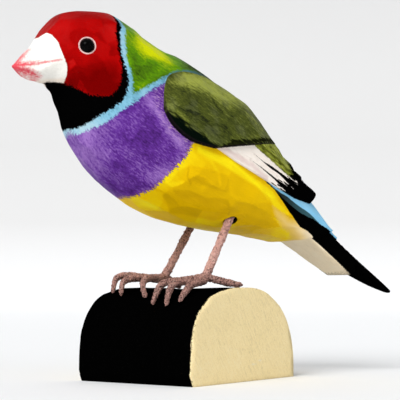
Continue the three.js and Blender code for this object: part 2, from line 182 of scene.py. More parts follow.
# Legs (x, y, z): where each shank meets the belly, its ankle, and the points of its toes
HIP = {"left": (9.9, 7.1, 45.2), "right": (-9.9, 5.5, 44.8)}
ANKLE = {"left": (10.6, -0.9, 29.1), "right": (-10.6, -3.3, 29.1)}
TOES = {
    "left": (
        ((10.2, -7.8, 28.1), (9.6, -12.8, 27.5), (10.2, -15.4, 25.8), (11.7, -17.7, 22.2)),
        ((12.4, -7.5, 27.9), (13.6, -12.2, 27.2), (15.1, -14.5, 25.3), (16.2, -15.9, 21.9)),
        ((13.0, -3.0, 27.9), (15.9, -8.1, 26.9), (17.9, -11.0, 25.0), (19.1, -13.2, 22.8)),
        ((13.2, 3.3, 27.8), (15.0, 5.4, 27.2), (16.5, 7.1, 26.9)),
    ),
    "right": (
        ((-10.6, -9.0, 29.0), (-10.5, -15.3, 29.6), (-9.4, -19.4, 28.7), (-8.2, -20.9, 25.2)),
        ((-8.8, -8.9, 28.7), (-5.8, -16.4, 28.6), (-3.9, -19.8, 27.4), (-3.0, -20.7, 24.4)),
        ((-7.0, -7.6, 28.5), (-2.0, -12.6, 28.7), (2.8, -16.7, 27.2), (6.1, -17.6, 23.9)),
        ((-11.3, -0.6, 28.1), (-11.8, 1.0, 27.2), (-12.2, 2.5, 26.4)),
    ),
}
SHANK_DEPTH = 6
HOLE_RADIUS = 1.75
HOLE_SHIFT = 0.25
HOLE_OUTSIDE = 4
SHANK_RADIUS = 1.1
TOE_RADIUS = 0.95
CLAW_RADIUS = 0.46
CLAW_SHARPNESS = 0.1
TOE_TAPER = 4.0

# Unevenness of the cast legs: how much thicker a shank is at its ankle, waves of its radius (share and
# pitch), rings round the toes, the fillets, and the lumps and grit of the skin
SHANK_FLARE = 1.08
SHANK_KNOTS = ((0.05, 1.3), (0.04, 3.7))
TOE_BAND_DEPTH = 0.035
TOE_BAND_PITCH = 42
SHANK_FILLET = 0.25
TOE_FILLET = 0.5
LEG_STEP = 0.19
LUMP_PITCH = 1.7
GRIT_PITCH = 3.6
GRIT_SHARE = 0.6
LEG_ROUGHNESS = 0.24
LEG_SHRINK = 0.05

# Painted shade on the legs: it starts this far above the ankle and grows downwards over the feet, and on the
# right leg, under the belly, also from this height upwards, each over a fade and up to a most
FOOT_SHADE_ABOVE = 3.5
FOOT_SHADE_FADE = 5
FOOT_SHADE_MOST = 0.7
THIGH_SHADE_FROM = 34
THIGH_SHADE_FADE = 12
THIGH_SHADE_MOST = 0.8

# Edges of the painted areas in the side view (y, z), the same on both sides. Where an area runs off the bird,
# its edge is closed outside it.
BEAK_EDGE = (
    (-60, 77), (-47.6, 81.6), (-46.6, 82.2), (-45.5, 82.4), (-44.8, 82.1), (-43.7, 81.8),
    (-42.5, 81.4), (-42.5, 83.5), (-42.8, 85.2), (-43.3, 86.7), (-44.1, 88.6), (-44.7, 90.1),
    (-45.1, 92.0), (-45.8, 93.4), (-46.3, 94.7), (-46.8, 95.3), (-47.3, 95.1), (-47.9, 94.5),
    (-48.5, 96.0), (-50, 100), (-60, 100),
)
MASK_EDGE = (
    (-60, 88), (-46.0, 84.0), (-44.0, 82.5), (-42.1, 81.2), (-40.4, 80.4), (-38.6, 79.2),
    (-36.9, 78.3), (-35.0, 77.9), (-33.1, 77.8), (-31.4, 78.2), (-30.2, 79.5), (-29.2, 81.8),
    (-28.6, 84.7), (-28.8, 87.6), (-29.1, 90.5), (-29.2, 93.1), (-29.1, 95.8), (-27.5, 100.5),
    (-26.8, 103.2), (-26, 110), (-60, 110),
)
BIB_EDGE = (
    (-60, 110), (-25.5, 110), (-26.0, 103.0), (-26.2, 99.3), (-27.5, 96.4), (-28.1, 92.3),
    (-28.2, 89.7), (-27.8, 87.4), (-27.2, 84.9), (-27.0, 82.6), (-27.1, 80.9), (-27.4, 79.5),
    (-28.1, 77.9), (-28.9, 76.5), (-30.4, 75.2), (-31.9, 74.1), (-33.3, 73.0), (-34.6, 72.1),
    (-35.9, 71.0), (-37.0, 70.1), (-37.9, 69.6), (-39.2, 69.7), (-42, 70.3), (-60, 73),
)
MANTLE_EDGE = (
    (-24, 110), (-24.5, 103.0), (-24.8, 99.4), (-26.0, 95.7), (-26.6, 92.5), (-26.8, 89.5),
    (-26.5, 86.6), (-26.0, 83.8), (-26.0, 81.0), (-26.1, 78.5), (-22.4, 80.6), (-19.6, 82.2),
    (-16.3, 84.2), (-12.6, 86.0), (-8.6, 86.9), (-4.3, 87.2), (6, 84), (60, 60), (60, 110),
)
CHEST_EDGE = (
    (-60, 70), (-38.8, 69.2), (-38.2, 68.4), (-37.4, 68.0), (-36.3, 68.5), (-34.8, 69.4),
    (-33.1, 70.3), (-31.1, 71.8), (-30.0, 73.2), (-27.4, 74.9), (-24.2, 77.2), (-21.3, 79.5),
    (-19.1, 81.0), (-17.2, 82.0), (-14.7, 83.4), (-8, 85), (0, 84), (60, 60), (60, 0), (-60, 0),
)
BELLY_EDGE = (
    (-24.5, 49), (-22.4, 51.0), (-21.1, 51.4), (-20.0, 51.8), (-18.7, 52.5), (-17.5, 53.4),
    (-16.3, 54.9), (-15.3, 56.4), (-14.0, 57.8), (-12.6, 59.4), (-11.4, 60.8), (-10.4, 62.5),
    (-9.7, 63.8), (-8.9, 65.7), (-8.5, 70), (10, 68), (25, 58), (36, 44), (36, 20), (-26, 20),
)
VENT_EDGE = (
    (18.8, 49.6), (19.7, 48.1), (20.4, 47.0), (21.8, 45.6), (23.3, 44.3), (25.4, 42.9), (27.6, 41.9),
    (29.0, 40.7), (30.1, 39.8), (33, 37), (60, 10), (80, 10), (60, 50), (31, 45.6), (25.9, 46.0),
    (24.2, 47.0), (22.2, 47.9), (20.3, 48.7),
)
# Lower facet of the rump, which is painted in shade
RUMP_SHADE_EDGE = (
    (15.2, 57.0), (18.4, 54.9), (21.5, 53.3), (24.3, 52.3), (27.2, 50.7), (29.3, 49.7), (31.3, 48.8),
    (33.3, 47.7), (35.3, 46.3), (37.4, 45.2), (36, 42), (30, 38), (12, 50),
)
RUMP_EDGE = (
    (14.2, 57.4), (16.4, 55.6), (18.4, 54.5), (20.7, 53.0), (22.8, 51.6), (25.2, 50.3), (27.2, 49.2),
    (29.3, 48.1), (31.7, 47.1), (34.3, 46.3), (37.4, 45.0), (39.1, 44.4), (40.5, 43.6), (42.8, 42.4),
    (44.9, 41.0), (47.2, 39.8), (50, 44), (44, 60), (30, 90), (6, 90),
)
TAIL_EDGE = (
    (18.4, 54.6), (20.7, 52.5), (23.3, 50.2), (25.5, 47.9), (27.8, 45.8), (30.1, 43.8), (33.0, 42.6),
    (38.8, 38.9), (51.5, 29.9), (52.6, 28.6), (56, 20), (80, 20), (80, 60), (30, 60),
)
DARK_FRONT = (
    (-17.6, 74.7), (-15.9, 73.5), (-12.6, 71.7), (-10.2, 70.1), (-7.4, 68.1), (-4.6, 66.8),
    (-1.6, 65.4), (-4, 62), (-14, 64), (-20, 69),
)
SMEAR = (
    (-1.2, 64.9), (1.0, 66.2), (4.0, 67.2), (9.0, 68.0), (14.0, 68.6), (21.0, 69.5), (21.5, 68.0),
    (13.0, 67.0), (5.7, 65.2), (1.6, 64.4),
)
# Foot of the flight feathers, and the lines behind which their ends and the tertials' ends are black
FLIGHT_FOOT = ((-1.4, 64.9), (4.3, 63.0), (9.9, 60.6), (12.1, 59.0), (15.1, 57.1))
FEATHER_TIPS = ((20.6, 54.4), (27.8, 58.6))
TERTIAL_TIPS = ((24.9, 57.5), (27.4, 66.0))
# Coral strokes from the beak's tip: start, end, half width and how fast it narrows away from the tip
CORAL_STROKES = (
    ((-54.9, 86.2), (-51.0, 90.9), 1.5, 0.2),
    ((-54.9, 86.2), (-45.5, 87.2), 1.8, 0.22),
    ((-54.9, 86.0), (-48.0, 82.9), 2.0, 0.17),
)
GAPE = ((-54.9, 86.2), (-51.2, 86.3), (-46.8, 87.0), (-44.4, 87.4))

# Widest band of collar between the coverts and the mantle, and the half width at which it is reached
COLLAR_BAND = 1.4
COLLAR_BAND_HALF_WIDTH = 10
# How far the coverts' paint keeps back from their front edge over the shoulder, and the height it takes
COVERT_PAINT_BACK = 0.5
COVERT_PAINT_FADE = 4
# The black of the wing ends reaches TIPS_FORWARD further forward inside TIPS_HALF_WIDTH, where the wings meet
TIPS_FORWARD = 6
TIPS_HALF_WIDTH = 10.5
TIPS_FADE = 2
# How sharply the wings' paint ends where the body stands out past them, and the greatest value it takes
OFF_WING_SHARPNESS = 3
OFF_WING_MOST = 3
# How far from the beak's tip the coral strokes go on narrowing
CORAL_REACH = 20
# How far ahead of the left leg's place the shadow of the leg holes starts to fade
HOLE_SHADOW_SHIFT = 0.4

# Stretches of y or z over which one tone fades into another. The first two darken the collar with painted
# shade, and the third turns the rump's painted shade from slate to teal
COLLAR_REAR_SHADE_FADE = (-19.0, -12.0)
COLLAR_BACK_SHADE_FADE = (-9.0, 0.0)
RUMP_SHADE_FADE = (21.0, 33.0)
RIM_FADE = (81.0, 76.0)
BEAK_FOOT_FADE = (83.4, 82.2)

# Places of painted light and shade, and of lighter and darker paint, in the side view: y, z, length,
# width, angle in degrees and strength
LIGHT_SHADE_AND_TONE_PLACES = (
    (-37.0, 101.0, 14.0, 5.0, 5, -0.5),
    (-36.0, 81.0, 9.0, 4.5, 10, -0.75),
    (-31.0, 83.5, 4.0, 4.0, 60, -0.35),
    (-29.8, 96.0, 4.5, 1.6, -65, 0.4),
    (-44.5, 97.0, 3.5, 2.0, 45, 0.4),
    (-19.0, 92.6, 6.0, 3.4, -40, 1.2),
    (-24.2, 91.0, 1.6, 9.0, -8, -0.25),
    (-14.0, 89.8, 5.0, 2.4, -30, 0.6),
    (-10.5, 77.0, 5.0, 3.0, -50, -0.3),
    (-1.0, 74.0, 6.0, 3.0, -35, -0.35),
    (-21.0, 86.0, 5.0, 2.0, 25, -0.35),
    (-36.0, 69.8, 3.0, 2.0, 0, 0.6),
    (-27.4, 88.0, 1.2, 8.0, 0, 0.4),
    (-4.0, 90.0, 7.0, 2.0, -28, -0.85),
    (-26.0, 80.2, 1.6, 4.5, 10, -0.05),
    (-16.5, 84.0, 4.0, 1.2, 25, -0.6),
    (-6.0, 87.4, 8.0, 1.6, -5, -0.75),
    (-23.5, 81.4, 3.0, 0.8, 30, 0.25),
    (-34.0, 63.0, 9.0, 3.0, -60, 0.65),
    (-12.5, 66.5, 4.0, 1.6, -45, 0.6),
    (-24.0, 67.0, 8.0, 4.0, -55, -0.45),
    (-18.2, 72.5, 9.0, 1.2, -55, 0.8),
    (-18.0, 57.5, 6.0, 2.5, -30, 0.45),
    (-27.0, 58.0, 7.0, 3.5, -50, -0.2),
    (26.0, 41.5, 4.0, 2.0, -10, 0.5),
    (-2.0, 45.0, 22.0, 3.0, -12, 0.3),
    (0.0, 79.0, 6.0, 2.4, -40, 0.4),
    (8.0, 72.0, 6.0, 3.0, -30, -0.2),
    (-12.0, 59.5, 5.0, 2.4, 60, 0.35),
    (-10.0, 84.0, 9.0, 2.4, 8, 0.35),
    (12.0, 80.0, 9.0, 2.2, -45, 0.3),
    (-14.4, 77.0, 3.0, 3.4, -60, 0.25),
    (31.0, 51.5, 7.0, 2.0, -40, 0.5),
)

# Facets painted lighter or darker than their neighbours in the side view, as painted light and shade on the
# knife cuts: strength, softness of the edge, and corners (y, z)
LIT_AND_SHADED_FACETS = (
    (0.5, 0.25, (
        (-32.0, 98.2), (-28.1, 98.9), (-28.9, 93.9), (-32.2, 92.3), (-34.4, 95.8),
    )),
    (-0.25, 0.3, (
        (-43.2, 86.9), (-39.3, 85.2), (-35.2, 86.9), (-32.0, 87.9), (-28.1, 86.5), (-28.4, 80.9),
        (-31.7, 77.7), (-36.5, 78.3), (-41.7, 81.1),
    )),
    (1.1, 0.2, (
        (-42.8, 86.7), (-41.7, 87.5), (-40.8, 86.1), (-42.1, 84.6),
    )),
    (0.1, 0.5, (
        (-42.6, 98.5), (-37.3, 99.6), (-34.4, 98.9), (-36.8, 96.0), (-40.7, 94.5), (-43.5, 96.2),
    )),
    (-0.4, 0.2, (
        (-14.6, 51.5), (-13.5, 53.2), (-7.9, 52.9), (-2.6, 51.1), (4.2, 50.8), (6.2, 46.3),
        (3.0, 44.9), (-4.6, 46.2), (-10.2, 47.1),
    )),
    (0.35, 0.25, (
        (-21.4, 51.2), (-17.8, 53.2), (-14.9, 52.3), (-13.6, 49.7), (-13.8, 48.0), (-18.0, 49.1),
    )),
    (-0.35, 0.25, (
        (-14.0, 55.0), (-8.6, 55.6), (-1.2, 53.5), (3.7, 52.7), (2.8, 57.3), (-4.2, 59.0),
        (-9.4, 59.7), (-12.4, 57.8),
    )),
    (0.75, 0.3, (
        (-7.8, 65.3), (-2.5, 63.2), (2.5, 62.1), (5.4, 60.4), (9.8, 57.8), (14.4, 55.6),
        (18.3, 53.6), (20.8, 51.3), (17.0, 52.2), (12.3, 54.8), (6.4, 57.3), (1.3, 59.9),
        (-2.4, 61.4), (-7.3, 63.5),
    )),
    (0.7, 0.25, (
        (16.0, 53.2), (20.4, 51.2), (24.5, 48.2), (25.9, 46.8), (22.3, 47.8), (19.3, 49.4),
    )),
    (-0.2, 0.25, (
        (3.1, 50.3), (9.4, 47.3), (18.3, 45.2), (23.5, 43.2), (27.4, 41.7), (28.9, 39.9),
        (21.5, 41.0), (12.2, 42.2), (8.3, 45.1),
    )),
    (-0.15, 0.2, (
        (9.0, 45.8), (15.9, 44.1), (23.0, 42.5), (27.1, 41.4), (29.0, 39.9), (21.0, 41.0),
        (11.3, 42.2),
    )),
    (0.65, 1.2, (
        (-15.6, 82.6), (-7.6, 86.6), (-0.3, 86.5), (7.4, 82.9), (13.2, 77.3), (6.0, 78.2),
        (0.4, 78.6), (-4.0, 80.8), (-9.0, 80.9),
    )),
    (-0.3, 1.0, (
        (-10.1, 75.3), (-4.4, 73.7), (1.1, 72.1), (4.7, 76.2), (10.9, 74.8), (18.6, 69.5),
        (12.2, 67.6), (-1.5, 65.0), (-4.7, 68.8), (-8.6, 71.4),
    )),
    (-0.15, 0.2, (
        (-12.9, 79.1), (-6.7, 80.0), (-6.5, 76.8), (-11.5, 75.0), (-14.3, 77.2),
    )),
    (-0.3, 0.2, (
        (-15.5, 76.1), (-11.5, 75.0), (-5.8, 71.8), (-2.3, 68.9), (-3.5, 66.1), (-7.8, 67.6),
        (-11.2, 69.8), (-10.8, 72.9), (-15.2, 74.4),
    )),
    (-0.2, 0.15, (
        (-2.4, 68.6), (0.8, 71.1), (3.0, 68.9), (1.3, 66.4), (-1.9, 65.5),
    )),
    (0.2, 0.2, (
        (0.9, 71.3), (5.8, 74.6), (12.3, 76.3), (15.6, 72.1), (16.7, 69.1), (3.8, 67.2), (3.0, 68.9),
    )),
    (0.15, 0.3, (
        (-11.1, 75.0), (-4.8, 74.4), (1.6, 72.0), (0.6, 71.1), (-5.0, 71.9),
    )),
)

# Thin lines in the side view, painted darker as the shade in cracks and along facet edges, and lighter as
# highlights along facet edges: strength, half width and points (y, z)
SHADED_AND_LIT_LINES = (
    (-0.6, 0.4, (
        (-9.6, 58.9), (-9.4, 56.5), (-8.1, 54.7),
    )),
    (0.35, 0.6, (
        (-7.0, 63.1), (-3.2, 61.3), (-0.2, 57.6), (0.6, 54.6),
    )),
    (0.5, 0.5, (
        (3.0, 61.3), (7.4, 58.6), (12.4, 55.3), (17.0, 51.4),
    )),
    (-0.9, 0.45, (
        (-11.2, 74.6), (-8.0, 73.6), (-5.0, 71.7),
    )),
    (-0.8, 0.4, (
        (-2.8, 78.6), (-1.4, 76.2), (0.2, 74.9),
    )),
    (-0.7, 0.4, (
        (0.8, 77.6), (1.9, 75.4), (3.6, 73.9),
    )),
    (-0.7, 0.4, (
        (-13.6, 75.4), (-10.4, 72.3),
    )),
    (0.4, 0.4, (
        (-4.8, 74.2), (-0.2, 72.6), (0.8, 71.2),
    )),
)

# Mixed colours of the paint, the glass, the wood and the backdrop, as they are seen. The bird's _SHADOW and
# _LIGHT colours are the dark and light ends of its tone ramps, which paint light and shade as well as the
# brush's own tones
WHITE = (0.98, 0.97, 0.94)
COLLAR_SHADOW = (0.12, 0.33, 0.33)
# Painted shade on the collar towards the back: dark teal, then dark olive
COLLAR_REAR_SHADE = (0.20, 0.38, 0.37)
COLLAR_BACK_SHADE = (0.16, 0.20, 0.13)
GREEN_SHADOW = (0.14, 0.18, 0.05)
SPECKLE = (0.74, 0.60, 0.70)
YELLOW_SHADOW = (0.74, 0.57, 0.0)
YELLOW_LIGHT = (0.99, 0.90, 0.06)
FRINGE = (0.42, 0.27, 0.16)
# Painted shade on the rump's lower facet, slate in front and teal behind
RUMP_SHADE_SLATE = (0.15, 0.18, 0.17)
RUMP_SHADE_TEAL = (0.20, 0.34, 0.37)
OLIVE_SHADOW = (0.13, 0.15, 0.08)
OLIVE_LIGHT = (0.60, 0.63, 0.27)
SMOKE = (0.34, 0.36, 0.26)
TERTIAL_TONES = ((0.26, 0.27, 0.06), (0.50, 0.53, 0.16), (0.66, 0.68, 0.30))
COVERT_DARK = (0.02, 0.05, 0.03)
RIM_DARK = (0.10, 0.08, 0.09)
RED_LIGHT = (0.77, 0.07, 0.06)
BEIGE = (0.88, 0.79, 0.70)
EYE_RING = (0.95, 0.80, 0.78)
LEG_LIGHT = (0.98, 0.86, 0.80)
# Brown of the specks on the legs, also used for their painted shade
LEG_SHADE_AND_SPECK_BROWN = (0.38, 0.27, 0.24)
CLAW_GREY = (0.50, 0.42, 0.43)
BEAD_TONES = ((0.0, 0.0, 0.0), (0.015, 0.015, 0.015), (0.03, 0.035, 0.03))
WOOD_LIGHT = (1.0, 0.94, 0.78)
WOOD_PORE = (0.70, 0.56, 0.34)
WOOD_SCRATCH = (0.98, 0.93, 0.82)
# Tones of the backdrop paper: painted light, lighter at the floor than up the wall
PAPER_LIGHT_FALLOFF = ((0.94, 0.945, 0.95), (0.83, 0.83, 0.83), (0.81, 0.81, 0.81), (0.815, 0.815, 0.815))

GRID_HALF_WIDTH = 22.0
GRID_SHIFT = 0.37

# Room for putty round a bead, and the share of the bead's radius in the frame that the glass takes
PUTTY = 0.05
BEAD_SHARE = 0.995

# Knife cuts: how many places are tried, how much the cuts lean, how squarely the skin faces them, their range
# of depths and greatest depth as shares of the depth asked for, how fast they fade towards their reach, and
# how much the skin swells
MOST_CUT_TRIES = 9000
KNIFE_LEAN = 0.035
KNIFE_FACING = 0.72
KNIFE_DEPTHS = (0.55, 1.15)
KNIFE_DEEPEST = 1.4
KNIFE_FADE = 3
SKIN_SWELL = 0.4
CARVING_SEED = 7

# Sharp edges are spared from the knife: where the skin's faces agree by less than this, and a little around
EDGE_AGREEMENT = 0.93
EDGE_RANGE = 0.05
EDGE_ROUNDS = 3
EDGE_LIFT = 0.2
EDGE_KEPT = 0.8

# The half log's mesh, and how bare its wood is: wholly at its ends, and a little over the rim of the one
# at +X
LOG_ARCH_POINTS = 130
LOG_BASE_SHARE = 0.55
LOG_STATIONS = 60
LOG_BEVEL = 0.15
LOG_HUB_HEIGHT = 0.42
LOG_END_RINGS = 12
LOG_END_BARE = 3.0
LOG_NEAR_RIM = 0.3
LOG_FAR_RIM = -0.4
LOG_RIM_FADE = 0.6

# Knife cuts over the log's round, which leave out the faces that look along its axis and those near its
# underside, the direction of the saw's marks, and a scratch in the end grain (across, up)
LOG_CUT_SPACING = 10.0
LOG_CUT_DEPTH = 0.3
LOG_CUT_REACH = 15.0
LOG_SEED = 3
LOG_END_FACING = 0.5
LOG_UNDERSIDE = 0.4
SAW_LEAN = math.radians(55)
SCRATCH = ((1.5, 4.2), (7.5, 5.8))
SCRATCH_HALF_WIDTH = 0.3

# Camera and lights, with places and sizes in metres and the sensor's width in millimetres
CAMERA_PLACE = (0.3213, -0.16785, 0.02626)
CAMERA_TARGET = (0.00124, 0.00233, 0.05149)
SENSOR_WIDTH = 36
NEAREST_SEEN = 0.01
LIGHT_TARGET = (0.0, 0.0, 0.06)
KEY_PLACE = (0.40, -0.62, 0.62)
FILL_PLACE = (0.75, 0.30, 0.40)
FILL_SIZE = 0.6

# Backdrop: the way it runs from the camera and across it, the radius of its bend and the height of its wall
# in metres, its depth and width as shares of the floor's half width, and half of the height, in
# millimetres, over which its painted light runs from lighter at the floor to darker up the wall
AWAY_FROM_CAMERA = Vector((-0.8829, 0.4695, 0))
ACROSS_CAMERA = Vector((0.4695, 0.8829, 0))
BACKDROP_BEND = 0.5
BACKDROP_WALL = 1.6
BACKDROP_DEPTH = 0.55
BACKDROP_WIDTH = 1.4
PAPER_FADE = 160.0
BEND_STEPS = 16


def size_property(name, description, default, precision=4, **limits):
    """A length that a user may change."""
    return bpy.props.FloatProperty(
        name=name, description=description, default=default, unit="LENGTH", precision=precision, **limits)


def colour_property(name, description, default):
    """A colour, as it is seen, that a user may change."""
    return bpy.props.FloatVectorProperty(
        name=name, description=description, default=default, subtype="COLOR_GAMMA")


class FinchCarving(bpy.types.PropertyGroup):
    """Sizes of the carving."""

    grain_step: size_property(
        "Skin step", "Distance between the points of the carved skin", 0.455 * MM, 5, min=0.25 * MM)
    facet_spacing: size_property("Cut spacing", "Distance between neighbouring knife cuts", 6.2 * MM)
    facet_depth: size_property("Cut depth", "About how deep a knife cut goes", 0.34 * MM, 5)
    facet_reach: size_property("Cut reach", "How far one knife cut may run from its middle", 10.0 * MM)


class FinchPaints(bpy.types.PropertyGroup):
    """Colours of the paint, as they are seen."""

    red: colour_property("Red", "Red of the mask", (0.67, 0.0, 0.0))
    black: colour_property("Black", "Black of the bib, the tail and the log", (0.01, 0.01, 0.01))
    collar: colour_property("Collar", "Light blue of the collar", (0.47, 0.70, 0.80))
    green: colour_property("Green", "Green of the mantle", (0.34, 0.54, 0.02))
    lime: colour_property("Lime", "Yellow-green of the upper back", (0.77, 0.80, 0.0))
    purple: colour_property("Purple", "Purple of the breast", (0.37, 0.18, 0.56))
    lavender: colour_property("Lavender", "Light strokes on the breast", (0.60, 0.44, 0.74))
    yellow: colour_property("Yellow", "Yellow of the belly", (0.91, 0.735, 0.0))
    cream: colour_property("Cream", "Cream under the tail", (0.97, 0.90, 0.77))
    flight: colour_property("Flight feathers", "Pinkish white of the flight feathers", (0.98, 0.94, 0.90))
    olive: colour_property("Olive", "Olive of the wings", (0.31, 0.34, 0.12))
    sky: colour_property("Sky blue", "Blue of the rump", (0.52, 0.78, 0.92))
    beak: colour_property("Beak", "White of the beak", (0.96, 0.95, 0.92))
    coral: colour_property("Coral", "Tint of the beak's tip", (0.86, 0.30, 0.35))
    leg: colour_property("Leg", "Pink of the legs", (0.93, 0.71, 0.66))
    wood: colour_property("Bare wood", "Sawn ends of the log", (1.0, 0.915, 0.70))


class FinchLog(bpy.types.PropertyGroup):
    """Sizes of the half log."""

    length: size_property("Length", "Length between the sawn ends", 39.2 * MM)
    front_width: size_property("Front width", "From the ridge to the widest place at the front", 26.4 * MM)
    front_foot: size_property("Front foot", "From the ridge to the front edge of the underside", 25.2 * MM)
    front_round: bpy.props.FloatProperty(
        name="Front round", description="Power of the front half's superellipse", default=2.94)
    rear_width: size_property("Rear width", "From the ridge to the widest place at the rear", 24.5 * MM)
    rear_round: bpy.props.FloatProperty(
        name="Rear round", description="Power of the rear half's superellipse", default=2.22)
    height: size_property("Height", "Height of the ridge", 26.0 * MM)
    widest_height: size_property("Widest at", "Height of the widest place", 3.0 * MM)
    turn: bpy.props.FloatProperty(
        name="Turn", description="Angle of the log's axis from X", default=math.radians(26), subtype="ANGLE")


class FinchStage(bpy.types.PropertyGroup):
    """Camera, floor and lights."""

    lens: bpy.props.FloatProperty(
        name="Lens", description="Focal length of the camera", default=112.5, unit="CAMERA")
    floor_half_width: bpy.props.FloatProperty(
        name="Floor", description="Half of the floor's width", default=1.6, unit="LENGTH")
    key_strength: bpy.props.FloatProperty(
        name="Key light", description="Strength of the soft light from above and left of the camera",
        default=2.6)
    key_softness: bpy.props.FloatProperty(
        name="Softness", description="Angle that the key light fills", default=math.radians(35),
        subtype="ANGLE")
    fill_power: bpy.props.FloatProperty(
        name="Fill light", description="Power of the light from the right", default=0.6, unit="POWER")
    sky_strength: bpy.props.FloatProperty(
        name="Room", description="Strength of the light from all around", default=0.5)


def smooth_rows(table, steps):
    """Catmull-Rom rows between the rows of a table."""
    rows = np.array(table, float)
    ends = np.vstack([rows[:1], rows, rows[-1:]])
    t = np.linspace(0, 1, steps, endpoint=False)[:, None]
    spans = []
    for a, b, c, d in zip(ends, ends[1:], ends[2:], ends[3:]):
        bend = (2 * a - 5 * b + 4 * c - d) * t ** 2 + (3 * b - a - 3 * c + d) * t ** 3
        spans.append(0.5 * (2 * b + (c - a) * t + bend))
    return np.vstack(spans + [rows[-1:]])


def segment_distance(y, z, start, end):
    """Distance from points of the side view to one segment."""
    (ay, az), (by, bz) = start, end
    dy, dz = by - ay, bz - az
    share = np.clip(((y - ay) * dy + (z - az) * dz) / (dy * dy + dz * dz), 0, 1)
    return np.hypot(y - ay - share * dy, z - az - share * dz), share


def outline_distance(outline, y, z):
    """Distance to a closed outline of the side view, negative inside."""
    nearest = np.full(np.shape(y), 1e3)
    inside = np.zeros(np.shape(y), bool)
    for (ay, az), (by, bz) in zip(outline, tuple(outline[1:]) + tuple(outline[:1])):
        nearest = np.minimum(nearest, segment_distance(y, z, (ay, az), (by, bz))[0])
        if az != bz:
            crosses = ((az > z) != (bz > z)) & (y < ay + (z - az) * (by - ay) / (bz - az))
            inside ^= crosses
    return np.where(inside, -nearest, nearest)


def line_side(line, y, z):
    """Signed distance to a straight line of the side view, positive on its right."""
    (ay, az), (by, bz) = line
    return ((y - ay) * (bz - az) - (z - az) * (by - ay)) / math.hypot(by - ay, bz - az)


def polyline_distance(line, y, z):
    """Distance to a line of several segments of the side view."""
    return np.minimum.reduce([segment_distance(y, z, start, end)[0] for start, end in zip(line, line[1:])])


def covert_outline():
    """Closed outline of the coverts in the side view, with a smooth front."""
    return tuple(map(tuple, smooth_rows(COVERT_FRONT, 5))) + COVERT_REAR


def shoulder_gap(x, y):
    """How far a point of the plan lies ahead of the coverts' front edge."""
    edge = smooth_rows(SHOULDER_EDGE, 6)[::-1]
    slope = 0.75
    return (np.interp(np.abs(x), edge[:, 0], edge[:, 1]) - y) * slope


